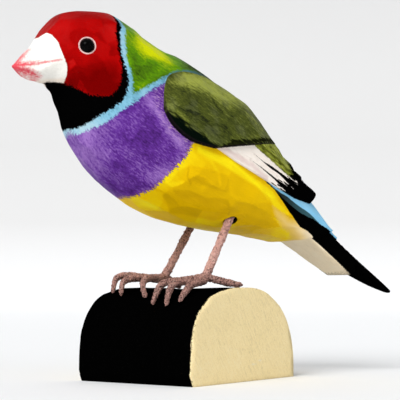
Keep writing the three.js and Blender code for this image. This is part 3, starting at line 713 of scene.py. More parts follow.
class SideView:
    """A grid over the side view, with maps of the carving's sections at its points."""

    LOW = (-57.0, 22.0)
    HIGH = (72.5, 105.0)
    SECTIONS = {
        "body": BODY, "wings": WINGS, "blade": TAIL_BLADE, "wedge": UNDERTAIL, "upper": UPPERTAIL,
        "parting": PARTING,
    }
    KINDS = 7
    SPAN_STEPS = 6

    def __init__(self, step):
        self.step = step
        self.y = np.arange(self.LOW[0], self.HIGH[0] + step, step)
        self.z = np.arange(self.LOW[1], self.HIGH[1] + step, step)
        self.yy, self.zz = np.meshgrid(self.y, self.z, indexing="ij")
        self.first = {name: i * self.KINDS for i, name in enumerate(self.SECTIONS)}
        maps = [self.section_maps(table) for table in self.SECTIONS.values()]
        edges = [outline_distance(outline, self.yy, self.zz)
                 for outline in (covert_outline(), PRIMARIES, TERTIALS, UPPER_TERTIALS)]
        self.maps = np.concatenate([*maps, np.stack(edges)])

    def section_maps(self, table):
        """What the table says at every point of the grid.

        That is the height in the section, its length, half width, widest height and power, the distance past
        the ends of the table, and the place along it."""
        rows = smooth_rows(table, self.SPAN_STEPS)
        y, z = self.yy.ravel(), self.zz.ravel()
        back, belly = rows[:, 0:2], rows[:, 2:4]
        across = back - belly
        length = np.hypot(across[:, 0], across[:, 1])
        dy, dz = y - belly[:, 0:1], z - belly[:, 1:2]
        lead = across[:, 0:1] * dz - across[:, 1:2] * dy
        height = (across[:, 0:1] * dy + across[:, 1:2] * dz) / length[:, None] ** 2
        passed = (lead[:-1] <= 0) & (lead[1:] > 0)
        miss = np.where(passed, np.abs(height[:-1] - 0.5), np.inf)
        found, k, point = passed.any(0), miss.argmin(0), np.arange(len(y))
        before, after = lead[k, point], lead[k + 1, point]
        share = before / np.where(found, before - after, 1)
        place = np.where(found, k + share, np.where(lead[0] > 0, 0, len(rows) - 1))
        k = np.minimum(place.astype(int), len(rows) - 2)
        share = (place - k)[:, None]
        row = rows[k] * (1 - share) + rows[k + 1] * share
        middle = (back + belly) / 2
        travelled = np.append(0, np.cumsum(np.hypot(*np.diff(middle, axis=0).T)))
        ay, az = row[:, 0] - row[:, 2], row[:, 1] - row[:, 3]
        size = np.hypot(ay, az)
        v = ((y - row[:, 2]) * ay + (z - row[:, 3]) * az) / size ** 2
        cap = np.maximum(lead[0] / length[0], -lead[-1] / length[-1])
        along = np.interp(place, np.arange(len(rows)), travelled)
        kinds = np.stack([v, size, row[:, 4], row[:, 5], row[:, 6], cap, along])
        return kinds.reshape(self.KINDS, *self.yy.shape)

    def at(self, y, z):
        """The maps at any points, blended between the four nearest of the grid."""
        fy = np.clip((y - self.LOW[0]) / self.step, 0, len(self.y) - 1.001)
        fz = np.clip((z - self.LOW[1]) / self.step, 0, len(self.z) - 1.001)
        i, k = fy.astype(int), fz.astype(int)
        a, b = fy - i, fz - k
        low = self.maps[:, i, k] * (1 - b) + self.maps[:, i, k + 1] * b
        high = self.maps[:, i + 1, k] * (1 - b) + self.maps[:, i + 1, k + 1] * b
        return low * (1 - a) + high * a

    def lofted(self, name, x, maps, rise=0.0):
        """About the distance outside one row of sections, raised by rise on its top and sides."""
        start = self.first[name]
        v, length, half, widest, power, cap = maps[start:start + 6]
        height = 2 * v * length / (length + rise) - 1
        lift = np.where(height > widest, (height - widest) / (1 - widest), (widest - height) / (1 + widest))
        side = np.abs(x) / (half + rise)
        return np.maximum((side ** power + np.abs(lift) ** power - 1) * half / power, cap)

    def parted(self, x, maps):
        """About the distance outside the groove between the wings."""
        start = self.first["parting"]
        v, length, half, _, _, cap = maps[start:start + 6]
        width = half * (PARTING_FLOOR + (1 - PARTING_FLOOR) * np.clip(v, 0, 1.5))
        return np.maximum(np.maximum(np.abs(x) - width, -v * length), cap)

    def parts(self, x, y, z, maps):
        """Distances outside the wings and outside everything else of the carving."""
        covert, primaries, tertials, upper = maps[-4:]
        cuts = feather_cuts(y, z)
        gap = shoulder_gap(x, y)
        outward = np.abs(x) - COVERT_SIDE
        share = COVERT_LEAST - gap / COVERT_FADE + outward / COVERT_FADE
        rise = COVERT_RISE * np.clip(share, COVERT_LEAST, 1)
        wing_shoulder = self.lofted("wings", x, maps, rise)
        shoulder = np.minimum(wing_shoulder, self.lofted("body", x, maps, COVERT_ON_BODY * rise))
        layers = (
            np.maximum.reduce([shoulder, covert, gap]),
            np.maximum(self.lofted("wings", np.abs(x) + cuts, maps), primaries),
            np.maximum(self.lofted("wings", x, maps, TERTIAL_RISE), tertials),
            np.maximum(self.lofted("wings", x, maps, 2 * TERTIAL_RISE), upper),
        )
        wings = np.maximum(np.minimum.reduce(layers), -self.parted(x, maps))
        rest = np.minimum.reduce([self.lofted(name, x, maps) for name in ("body", "blade", "wedge", "upper")])
        return wings, rest

    def solid(self, x, y, z, maps):
        """About the distance outside the whole carving, with its leg holes and eye sockets."""
        shape = np.minimum(*self.parts(x, y, z, maps))
        for side in ("left", "right"):
            shape = np.maximum(shape, -leg_hole(side, x, y, z))
            shape = np.maximum(shape, -eye_socket(side, x, y, z))
        return shape


def feather_cuts(y, z):
    """Depth of the V-cuts between the flight feathers."""
    gap = np.min([
        segment_distance(y, z, start[:2], end[:2])[0]
        for line in FEATHER_CUTS for start, end in zip(line, line[1:])
    ], axis=0)
    return FEATHER_CUT_DEPTH * np.clip(1 - gap / FEATHER_CUT_HALF_WIDTH, 0, 1)


def feather_lines(y, z):
    """Distance outside the black lines that are painted along the V-cuts."""
    nearest = np.full(np.shape(y), 1e3)
    for line in FEATHER_CUTS:
        for start, end in zip(line, line[1:]):
            gap, share = segment_distance(y, z, start[:2], end[:2])
            nearest = np.minimum(nearest, gap - start[2] - (end[2] - start[2]) * share)
    return nearest


def leg_hole(side, x, y, z):
    """Distance outside the drilled hole of one leg."""
    hip, ankle = np.array(HIP[side]), np.array(ANKLE[side])
    inward = (hip - ankle) / np.linalg.norm(hip - ankle)
    dx, dy, dz = x - hip[0], y - hip[1] - HOLE_SHIFT, z - hip[2]
    depth = dx * inward[0] + dy * inward[1] + dz * inward[2]
    radius = np.sqrt(np.maximum(dx * dx + dy * dy + dz * dz - depth * depth, 0))
    return np.maximum(np.maximum(radius - HOLE_RADIUS, depth - SHANK_DEPTH), -depth - HOLE_OUTSIDE)


def eye_place(side):
    """Centre and radius of a bead, in millimetres."""
    low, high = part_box(f"eye_{side}")
    return np.array((low + high) / 2) / MM, (high.y - low.y) / 2 / MM


def eye_socket(side, x, y, z):
    """Distance outside the socket of one bead, which leaves room for its putty."""
    centre, radius = EYES[side]
    return np.sqrt((x - centre[0]) ** 2 + (y - centre[1]) ** 2 + (z - centre[2]) ** 2) - radius - PUTTY


EYES = {side: eye_place(side) for side in ("left", "right")}


def edge_crossings(values, axis):
    """Grid edges along one axis whose ends lie on different sides of the surface."""
    inside = values < 0
    ahead = np.roll(inside, -1, axis)
    changed = inside != ahead
    last = [slice(None)] * 3
    last[axis] = -1
    changed[tuple(last)] = False
    return np.argwhere(changed)


def refined(points, direction, before, after, step, field):
    """Places where the field is zero on short edges, by false position."""
    low, high = np.zeros(len(points)), np.full(len(points), step)
    for _ in range(3):
        share = before / (before - after)
        travel = low + (high - low) * share
        value = field(points + travel[:, None] * direction)
        same = (value < 0) == (before < 0)
        low, before = np.where(same, travel, low), np.where(same, value, before)
        high, after = np.where(same, high, travel), np.where(same, after, value)
    return low + (high - low) * before / (before - after)


def skin_of(values, low, step, field=None):
    """Quads and points of the surface where the values of a grid pass through zero.

    With a field, each point goes to the crease that the surface's slopes around it agree on."""
    low, shape = np.array(low, float), np.array(values.shape)
    strides = np.array([shape[1] * shape[2], shape[2], 1])
    hits, cells, quads = [], [], []
    for axis in range(3):
        nodes = edge_crossings(values, axis)
        forward = np.eye(3, dtype=int)[axis]
        before = values[tuple(nodes.T)]
        after = values[tuple((nodes + forward).T)]
        start = low + nodes * step
        travel = step * before / (before - after)
        if field:
            travel = refined(start, forward, before, after, step, field)
        hits.append(start + travel[:, None] * forward)
        u, v = np.eye(3, dtype=int)[(axis + 1) % 3], np.eye(3, dtype=int)[(axis + 2) % 3]
        ring = np.stack([(nodes + offset) @ strides for offset in (-u - v, -v, 0 * u, -u)], 1)
        cells.append(ring)
        quads.append(np.where((before < 0)[:, None], ring, ring[:, ::-1]))
    hits, cells, quads = np.concatenate(hits), np.concatenate(cells), np.concatenate(quads)
    names, which = np.unique(cells.ravel(), return_inverse=True)
    count = np.bincount(which)
    spread = np.repeat(hits, 4, axis=0)
    middle = np.stack([np.bincount(which, spread[:, i]) for i in range(3)], 1) / count[:, None]
    if field:
        middle += crease_shift(hits, which, middle, len(names), step, field)
    faces = np.searchsorted(names, quads.ravel()).reshape(-1, 4)
    return middle, faces


def slopes(points, field):
    """Unit normals of the field at points."""
    tiny = 0.02
    here = field(points)
    grade = np.stack([field(points + tiny * axis) - here for axis in np.eye(3)], 1)
    return grade / np.maximum(np.linalg.norm(grade, axis=1), 1e-9)[:, None]


def crease_shift(hits, which, middle, count, step, field):
    """How far each cell's point moves so that it lies on the planes of all its crossings."""
    normal = np.repeat(slopes(hits, field), 4, axis=0)
    offset = (normal * (np.repeat(hits, 4, axis=0) - middle[which])).sum(1)
    matrix, target = np.zeros((count, 3, 3)), np.zeros((count, 3))
    for i in range(3):
        target[:, i] = np.bincount(which, normal[:, i] * offset)
        for j in range(3):
            matrix[:, i, j] = np.bincount(which, normal[:, i] * normal[:, j])
    stiffness = 0.08
    shift = np.linalg.solve(matrix + stiffness * np.eye(3), target[:, :, None])[:, :, 0]
    return np.clip(shift, -0.7 * step, 0.7 * step)


def vertex_normals(points, faces):
    """Unit normals at the points of a mesh of quads."""
    a, b, c, d = (points[faces[:, i]] for i in range(4))
    face = np.cross(c - a, d - b)
    corners = faces.ravel()
    total = np.stack([np.bincount(corners, np.repeat(face[:, i], 4), len(points)) for i in range(3)], 1)
    return total / np.maximum(np.linalg.norm(total, axis=1), 1e-12)[:, None]


def scattered(points, spacing, rng):
    """Indices of points that lie at least spacing apart, in a random but repeatable order."""
    chosen = []
    for i in rng.permutation(len(points))[:MOST_CUT_TRIES]:
        if not chosen or ((points[chosen] - points[i]) ** 2).sum(1).min() > spacing ** 2:
            chosen.append(i)
    return chosen


def smoothness(points, faces):
    """1 where a skin is smooth and 0 near its sharp edges, at every point."""
    a, b, c, d = (points[faces[:, i]] for i in range(4))
    face = np.cross(c - a, d - b)
    face /= np.maximum(np.linalg.norm(face, axis=1), 1e-12)[:, None]
    corners = faces.ravel()
    total = np.stack([np.bincount(corners, np.repeat(face[:, i], 4), len(points)) for i in range(3)], 1)
    smooth = np.linalg.norm(total, axis=1) / np.maximum(np.bincount(corners, minlength=len(points)), 1)
    smooth = np.clip((smooth - EDGE_AGREEMENT) / EDGE_RANGE, 0, 1)
    for _ in range(EDGE_ROUNDS):
        lowest = smooth[faces].min(1)
        np.minimum.at(smooth, corners, np.repeat(EDGE_LIFT + EDGE_KEPT * lowest, 4))
    return smooth


def whittle(points, normals, smooth, spacing, depth, reach, seed):
    """Cuts flat facets into a skin, as a knife leaves them, and swells the skin a little to make up for it.

    Also gives a number between -1 and 1 that all points of one facet share, for the facet's painted light and
    shade."""
    rng = np.random.default_rng(seed)
    sunk, tint = np.zeros(len(points)), np.zeros(len(points))
    for i in scattered(points, spacing, rng):
        lean = normals[i] + rng.normal(0, KNIFE_LEAN, 3)
        lean /= np.linalg.norm(lean)
        offset = points - points[i]
        near = (offset ** 2).sum(1) < reach ** 2
        near &= normals @ lean > KNIFE_FACING
        deep = depth * rng.uniform(*KNIFE_DEPTHS)
        away = np.sqrt((offset[near] ** 2).sum(1)) / reach
        over = offset[near] @ lean + deep
        cut = np.clip(over, 0, KNIFE_DEEPEST * depth) * np.clip(KNIFE_FADE * (1 - away), 0, 1)
        near = np.flatnonzero(near)
        deeper = cut > sunk[near]
        # tint: the painted light and shade of this facet, lighter or darker at random
        sunk[near[deeper]], tint[near[deeper]] = cut[deeper], rng.uniform(-1, 1)
    return points - normals * ((sunk - SKIN_SWELL * depth) * smooth)[:, None], tint


def mesh_object(name, points, faces, material):
    """A smooth mesh in the scene, from points in metres."""
    mesh = bpy.data.meshes.new(name)
    mesh.from_pydata(points, [], faces)
    mesh.shade_smooth()
    mesh.materials.append(material)
    thing = bpy.data.objects.new(name, mesh)
    bpy.context.scene.collection.objects.link(thing)
    return thing


def new_piece(name, points, faces, material):
    """A piece of the carving from points in millimetres, riding on the frame."""
    metres = (np.asarray(points) * MM).tolist()
    piece = mesh_object(name, metres, [tuple(face) for face in faces], material)
    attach(piece, "root")
    return piece


def keep_values(piece, **values):
    """Stores one number a vertex under each name, for the paint to read."""
    for name, numbers in values.items():
        attribute = piece.data.attributes.new(name, "FLOAT", "POINT")
        attribute.data.foreach_set("value", np.ascontiguousarray(numbers, np.float32))


def linear(colour):
    """Scene-linear colour, with full alpha, of a colour as it is seen."""
    return (*(c / 12.92 if c <= 0.04045 else ((c + 0.055) / 1.055) ** 2.4 for c in colour[:3]), 1.0)


def shade(colour, factor):
    """A darker or lighter colour as it is seen."""
    return tuple(min(c * factor, 1.0) for c in colour[:3])


def blend(one, other, share):
    """A colour between two, as they are seen."""
    return tuple(a * (1 - share) + b * share for a, b in zip(one[:3], other[:3]))


class Paint:
    """A material whose nodes are added and joined by short calls."""

    def __init__(self, name):
        self.material = bpy.data.materials.new(name)
        self.material.use_nodes = True
        self.nodes = self.material.node_tree.nodes
        self.links = self.material.node_tree.links
        self.shader = self.nodes["Principled BSDF"]

    def wire(self, value, socket):
        if isinstance(value, bpy.types.NodeSocket):
            self.links.new(value, socket)
        else:
            socket.default_value = value

    def attribute(self, name):
        node = self.nodes.new("ShaderNodeAttribute")
        node.attribute_name = name
        return node.outputs["Fac"]

    def math(self, operation, *values):
        node = self.nodes.new("ShaderNodeMath")
        node.operation = operation
        for value, socket in zip(values, node.inputs):
            self.wire(value, socket)
        return node.outputs[0]

    def add(self, value, part, share):
        """A value with a share of another one added."""
        return self.math("ADD", value, self.math("MULTIPLY", part, share))

    def place(self):
        """Object coordinates in millimetres."""
        node = self.nodes.new("ShaderNodeTexCoord")
        scale = self.nodes.new("ShaderNodeVectorMath")
        scale.operation = "SCALE"
        self.links.new(node.outputs["Object"], scale.inputs[0])
        scale.inputs["Scale"].default_value = 1 / MM
        return scale.outputs[0]

    def split(self, vector):
        node = self.nodes.new("ShaderNodeSeparateXYZ")
        self.links.new(vector, node.inputs[0])
        return node.outputs

    def join(self, x, y, z):
        node = self.nodes.new("ShaderNodeCombineXYZ")
        for value, socket in zip((x, y, z), node.inputs):
            self.wire(value, socket)
        return node.outputs[0]

    def noise(self, vector, scale, detail=2.0, roughness=0.5):
        """Noise about zero, mostly between -1 and 1."""
        node = self.nodes.new("ShaderNodeTexNoise")
        self.links.new(vector, node.inputs["Vector"])
        node.inputs["Scale"].default_value = scale
        node.inputs["Detail"].default_value = detail
        node.inputs["Roughness"].default_value = roughness
        swing = 4.0
        return self.math("MULTIPLY", self.math("SUBTRACT", node.outputs[0], 0.5), swing)

    def ramp(self, value, low, high):
        """0 at low and 1 at high, smooth between, where low may be the greater."""
        node = self.nodes.new("ShaderNodeMapRange")
        node.interpolation_type = "SMOOTHSTEP"
        self.wire(value, node.inputs["Value"])
        flip = low > high
        node.inputs["From Min"].default_value = high if flip else low
        node.inputs["From Max"].default_value = low if flip else high
        node.inputs["To Min"].default_value = 1.0 if flip else 0.0
        node.inputs["To Max"].default_value = 0.0 if flip else 1.0
        return node.outputs[0]

    def area(self, name, ragged, reach, soft, shift=0.0):
        """1 inside a painted area and 0 outside, with an edge moved by ragged noise of some reach."""
        distance = self.add(self.attribute(name), ragged, reach)
        return self.ramp(distance, shift + soft, shift - soft)

    def lightness(self, colour):
        node = self.nodes.new("ShaderNodeRGBToBW")
        self.links.new(colour, node.inputs[0])
        return node.outputs[0]

    def mix(self, share, under, over, strength=None):
        """One colour over another. Each is a node's output, or a colour as it is seen."""
        if strength:
            share = self.math("MULTIPLY", share, strength)
        node = self.nodes.new("ShaderNodeMix")
        node.data_type = "RGBA"
        self.wire(share, node.inputs["Factor"])
        for colour, socket in ((under, node.inputs["A"]), (over, node.inputs["B"])):
            self.wire(colour if isinstance(colour, bpy.types.NodeSocket) else linear(colour), socket)
        return node.outputs["Result"]

    def tones(self, value, *colours):
        """Colours as they are seen, spread evenly over a value from -1 to 1."""
        node = self.nodes.new("ShaderNodeValToRGB")
        self.links.new(self.math("MULTIPLY_ADD", value, 0.5, 0.5), node.inputs[0])
        stops = node.color_ramp.elements
        while len(stops) < len(colours):
            stops.new(0.5)
        for i, (stop, colour) in enumerate(zip(stops, colours)):
            stop.position = i / (len(colours) - 1)
            stop.color = linear(colour)
        return node.outputs["Color"]

    def bump(self, height, distance, strength=1.0):
        node = self.nodes.new("ShaderNodeBump")
        node.inputs["Distance"].default_value = distance * MM
        node.inputs["Strength"].default_value = strength
        self.wire(height, node.inputs["Height"])
        self.links.new(node.outputs[0], self.shader.inputs["Normal"])

    def surface(self, colour, roughness, specular):
        """Sets the shader's colour, roughness and gloss, each a node's output or a value."""
        self.wire(colour, self.shader.inputs["Base Color"])
        self.wire(roughness, self.shader.inputs["Roughness"])
        self.wire(specular, self.shader.inputs["Specular IOR Level"])


def tone_at(y, z):
    """Sum of the painted light and shade of places, facets and lines, and of the lighter and darker paint."""
    tone = np.zeros(len(y))
    for cy, cz, length, width, angle, strength in LIGHT_SHADE_AND_TONE_PLACES:
        turn = math.radians(angle)
        u = (y - cy) * math.cos(turn) + (z - cz) * math.sin(turn)
        w = (z - cz) * math.cos(turn) - (y - cy) * math.sin(turn)
        tone += strength * np.exp(-(u / length) ** 2 - (w / width) ** 2)
    # painted light and shade of single facets
    for strength, soft, outline in LIT_AND_SHADED_FACETS:
        tone += strength * np.clip(0.5 - 0.5 * outline_distance(outline, y, z) / soft, 0, 1)
    # painted shade in cracks and painted highlights along facet edges
    for strength, width, line in SHADED_AND_LIT_LINES:
        tone += strength * np.clip(1 - polyline_distance(line, y, z) / width, 0, 1)
    return tone


def paint_values(view, points):
    """Distances, in millimetres, to the edge of every painted area, and the way the strokes run."""
    x, y, z = points.T
    maps = view.at(y, z)
    wings, rest = view.parts(x, y, z, maps)
    off_wing = np.clip((wings - rest) * OFF_WING_SHARPNESS, -OFF_WING_MOST, OFF_WING_MOST)
    gap = shoulder_gap(x, y)
    start = view.first["body"]
    v, length, along = maps[start], maps[start + 1], maps[start + 6]
    covert, primaries, tertials, upper = maps[-4:]
    band = COLLAR_BAND * np.clip(np.abs(x) / COLLAR_BAND_HALF_WIDTH, 0, 1)
    paint_back = COVERT_PAINT_BACK * np.clip((z - COVERT_FRONT[-1][1]) / COVERT_PAINT_FADE, 0, 1)
    centre, radius = EYES["left"]
    from_eye = np.sqrt((np.abs(x) - abs(centre[0])) ** 2 + (y - centre[1]) ** 2 + (z - centre[2]) ** 2)
    return {
        "along": along,
        "height": (v - 0.5) * length,
        # painted light and shade, with the paint's lighter and darker places
        "tone": tone_at(y, z),
        "beak": outline_distance(BEAK_EDGE, y, z),
        "mask": outline_distance(MASK_EDGE, y, z),
        "bib": outline_distance(BIB_EDGE, y, z),
        "mantle": np.maximum(outline_distance(MANTLE_EDGE, y, z), band - gap),
        "chest": outline_distance(CHEST_EDGE, y, z),
        "belly": outline_distance(BELLY_EDGE, y, z),
        "vent": outline_distance(VENT_EDGE, y, z),
        "rump": outline_distance(RUMP_EDGE, y, z),
        "tail": outline_distance(TAIL_EDGE, y, z),
        "covert": np.maximum(covert, gap + paint_back),
        "flight": np.maximum(primaries, off_wing),
        "tertial": np.maximum(tertials, off_wing),
        "upper_tertial": np.maximum(upper, off_wing),
        "feather_line": feather_lines(y, z),
        "rump_shade": outline_distance(RUMP_SHADE_EDGE, y, z),
        "dark_front": outline_distance(DARK_FRONT, y, z),
        "smear": outline_distance(SMEAR, y, z),
        "rim": np.abs(outline_distance(covert_outline(), y, z)),
        "gape": polyline_distance(GAPE, y, z),
        "flight_foot": polyline_distance(FLIGHT_FOOT, y, z),
        "eye": from_eye - radius,
    }


class BirdPaint(Paint):
    """The bird's paint: every area over the one before it, with brushed edges."""

    def __init__(self, paints):
        super().__init__("finch_paint")
        self.paints = paints
        place = self.place()
        self.x, self.y, self.z = self.split(place)
        self.along, self.height = self.attribute("along"), self.attribute("height")
        # Painted light and shade with the paint's own tone, and the painted light and shade of each knife
        # facet
        self.tone, self.facet_light_and_shade = self.attribute("tone"), self.attribute("facet_light_and_shade")
        self.stroke = self.brushed(0.16, 1.5, 3.0, 0.6)
        self.hair = self.brushed(0.3, 3.0, 2.0, 0.7)
        self.broad = self.brushed(0.3, 0.35, 2.0)
        self.streak = self.brushed(0.06, 1.7, 1.0)
        self.fleck = self.noise(place, 2.2, 2.0, 0.6)
        self.soft = self.noise(place, 0.22, 1.0)

    def brushed(self, squeeze, scale, detail, roughness=0.5):
        """Noise drawn out along the strokes, more so with less squeeze."""
        along = self.math("MULTIPLY", self.along, squeeze)
        return self.noise(self.join(along, self.height, self.x), scale, detail, roughness)

    def toned(self, streaks, drift=0.15, hairs=0.0, cuts=0.0):
        """Light and dark of an area: its painted light, shade and tone, and shares of strokes, clouds, hairs,
        and cuts, which is the painted light and shade of the knife facets.
        """
        value = self.tone
        shares = ((self.stroke, streaks), (self.broad, drift), (self.soft, drift), (self.hair, hairs))
        for part, share in (*shares, (self.facet_light_and_shade, cuts)):
            if share:
                value = self.add(value, part, share)
        return value

    def collar(self):
        """Light blue of the collar, darkened towards the back by painted shade, first to dark teal and then
        to dark olive.
        """
        value = self.toned(streaks=0.15, drift=0.12, hairs=0.3)
        pale = blend(self.paints.collar, WHITE, 0.45)
        colour = self.tones(value, COLLAR_SHADOW, self.paints.collar, pale)
        # painted shade darkening the collar towards the back
        colour = self.mix(self.ramp(self.y, *COLLAR_REAR_SHADE_FADE), colour, COLLAR_REAR_SHADE, 0.85)
        return self.mix(self.ramp(self.y, *COLLAR_BACK_SHADE_FADE), colour, COLLAR_BACK_SHADE, 0.85)

    def mantle(self, colour):
        """Green and yellow-green of the upper back."""
        value = self.toned(streaks=0.25, hairs=0.35, cuts=0.12)
        green = self.tones(value, GREEN_SHADOW, self.paints.green, self.paints.lime)
        return self.mix(self.area("mantle", self.hair, 0.7, 0.15), colour, green)

    def purple(self):
        """Purple with light strokes, and with speckles near the outline of the coverts."""
        value = self.toned(streaks=0.3, drift=0.25, hairs=0.65, cuts=0.12)
        # dark end of the ramp: painted shade, and the dark of the strokes
        dark = shade(self.paints.purple, 0.6)
        purple = self.tones(value, dark, self.paints.purple, self.paints.lavender)
        near_coverts = self.ramp(self.attribute("rim"), 3.2, 0.6)
        speckles = self.math("MULTIPLY", near_coverts, self.ramp(self.hair, 0.1, 0.5))
        return self.mix(speckles, purple, SPECKLE, 0.6)

    def breast_and_belly(self, colour):
        """Purple breast and yellow belly, with a brown fringe between them."""
        purple = self.purple()
        colour = self.mix(self.area("chest", self.hair, 0.8, 0.15), colour, purple)
        value = self.toned(streaks=0.05, drift=0.1, hairs=0.05, cuts=0.28)
        yellow = self.tones(value, YELLOW_SHADOW, self.paints.yellow, YELLOW_LIGHT)
        fringe = self.mix(self.area("belly", self.hair, 1.1, 0.5, 0.3), purple, FRINGE)
        colour = self.mix(self.area("belly", self.hair, 1.1, 0.15, 0.4), colour, fringe)
        return self.mix(self.area("belly", self.hair, 1.1, 0.2), colour, yellow)

    def vent(self, colour):
        """Cream under the tail, yellow towards its edges."""
        cream = self.paints.cream
        value = self.toned(streaks=0.15)
        vent = self.tones(value, shade(cream, 0.86), cream, blend(cream, WHITE, 0.5))
        vent = self.mix(self.ramp(self.attribute("vent"), -4.5, 0.0), vent, self.paints.yellow, 0.85)
        return self.mix(self.area("vent", self.fleck, 0.3, 0.5), colour, vent)

    def tail_and_rump(self, colour):
        """Black tail, and over it the blue rump, with painted shade in slate and teal on its lower facet."""
        sky = self.paints.sky
        value = self.toned(streaks=0.15)
        blue = self.tones(value, shade(sky, 0.8), sky, blend(sky, WHITE, 0.2))
        # painted shade on the rump's lower facet, slate in front and teal behind
        rearward = self.ramp(self.math("ADD", self.y, self.stroke), *RUMP_SHADE_FADE)
        lower_facet_shade = self.mix(rearward, RUMP_SHADE_SLATE, RUMP_SHADE_TEAL)
        blue = self.mix(self.area("rump_shade", self.broad, 0.15, 0.15), blue, lower_facet_shade)
        colour = self.mix(self.area("tail", self.fleck, 0.08, 0.1), colour, self.paints.black)
        return self.mix(self.area("rump", self.fleck, 0.15, 0.12), colour, blue)

    def flight_feathers(self, colour):
        """Pinkish white, rosy along the foot, with black tips and black lines along the cuts."""
        flight = self.paints.flight
        value = self.toned(streaks=0.3, drift=0.1, hairs=0.2)
        pale = self.tones(value, shade(flight, 0.88), flight, WHITE)
        rosy = blend(shade(flight, 0.9), self.paints.coral, 0.1)
        foot = self.ramp(self.add(self.attribute("flight_foot"), self.stroke, 0.4), 1.3, 0.2)
        pale = self.mix(foot, pale, rosy, 0.75)
        tips = self.ramp(self.add(self.attribute("tips"), self.streak, 4.0), -0.6, 0.8)
        lines = self.area("feather_line", self.fleck, 0.08, 0.12, -0.08)
        feathers = self.mix(self.math("MAXIMUM", tips, lines), pale, self.paints.black)
        return self.mix(self.area("flight", self.fleck, 0.05, 0.12, 0.1), colour, feathers)

    def tertials(self, colour):
        """Olive-yellow feathers with black ends, and a black line round the upper ones."""
        ends = self.ramp(self.add(self.attribute("tertial_tips"), self.streak, 2.0), -0.6, 0.6)
        line = self.ramp(self.math("ABSOLUTE", self.attribute("upper_tertial")), 0.3, 0.1)
        dark = self.math("MAXIMUM", ends, self.math("MULTIPLY", line, 0.5))
        value = self.math("MULTIPLY", self.math("ADD", self.stroke, self.streak), 0.9)
        feathers = self.mix(dark, self.tones(value, *TERTIAL_TONES), self.paints.black)
        return self.mix(self.area("tertial", self.fleck, 0.08, 0.12, 0.1), colour, feathers)

    def olive(self):
        """Olive of the coverts, with smoky places."""
        value = self.toned(streaks=0.35, drift=0.06, hairs=0.5, cuts=0.25)
        olive = self.tones(value, OLIVE_SHADOW, self.paints.olive, OLIVE_LIGHT)
        smoke = self.add(self.soft, self.math("ADD", self.stroke, self.hair), 0.35)
        return self.mix(self.ramp(smoke, 0.0, 0.8), olive, SMOKE, 0.3)

    def coverts(self, colour):
        """Olive coverts with a dark front, a black smear along their foot and a dark rim."""
        covert = self.mix(self.area("dark_front", self.stroke, 0.9, 0.6), self.olive(), COVERT_DARK)
        covert = self.mix(self.area("smear", self.streak, 0.8, 0.3), covert, self.paints.black, 0.9)
        low = self.ramp(self.z, *RIM_FADE)
        rim = self.math("MULTIPLY", self.ramp(self.attribute("rim"), 0.5, 0.2), low)
        covert = self.mix(rim, covert, RIM_DARK, 0.7)
        return self.mix(self.area("covert", self.fleck, 0.08, 0.12, 0.15), colour, covert)

    def bib_and_mask(self, colour):
        """Black bib, and the red mask over it."""
        colour = self.mix(self.area("bib", self.hair, 0.65, 0.1), colour, self.paints.black)
        value = self.toned(streaks=0.06, drift=0.1, hairs=0.06, cuts=0.36)
        red = self.tones(value, shade(self.paints.red, 0.66), self.paints.red, RED_LIGHT)
        return self.mix(self.area("mask", self.hair, 0.6, 0.1), colour, red)

    def beak(self, colour):
        """White beak, beige below, with coral strokes at its tip and a coral line along its gape."""
        white, coral = self.paints.beak, self.paints.coral
        beak = self.tones(self.toned(streaks=0.15), shade(white, 0.93), white, WHITE)
        beak = self.mix(self.ramp(self.z, *BEAK_FOOT_FADE), beak, BEIGE, 0.6)
        scumble = self.math("MULTIPLY", self.math("ADD", self.stroke, self.fleck), 0.5)
        tint = self.ramp(self.math("ADD", self.attribute("coral"), scumble), 0.5, -1.6)
        beak = self.mix(tint, beak, coral)
        mouth = self.ramp(self.add(self.attribute("gape"), self.fleck, 0.12), 0.45, 0.1)
        beak = self.mix(mouth, beak, coral, 0.65)
        return self.mix(self.area("beak", self.fleck, 0.12, 0.1), colour, beak)

    def eyes_and_holes(self, colour):
        """Pink ring and black putty round each bead, and painted shade in the leg holes."""
        ring = self.add(self.attribute("eye"), self.fleck, 0.05)
        colour = self.mix(self.ramp(ring, 0.5, 0.4), colour, EYE_RING)
        colour = self.mix(self.ramp(ring, 0.08, 0.02), colour, self.paints.black)
        # painted shade in the leg holes
        return self.mix(self.ramp(self.attribute("hole"), 0.35, 0.1), colour, self.paints.black)

    def finished(self):
        """The material, with its areas laid in turn and the relief of the brush."""
        colour = self.collar()
        for area in (self.mantle, self.breast_and_belly, self.vent, self.tail_and_rump, self.flight_feathers,
                     self.tertials, self.coverts, self.bib_and_mask, self.beak, self.eyes_and_holes):
            colour = area(colour)
        rough = self.math("MULTIPLY_ADD", self.fleck, 0.05, 0.48)
        gloss = self.math("MULTIPLY", self.ramp(self.lightness(colour), 0.0, 0.12), 0.04)
        self.surface(colour, rough, gloss)
        self.bump(self.add(self.math("ADD", self.stroke, self.hair), self.fleck, 0.6), 0.05, 0.6)
        return self.material


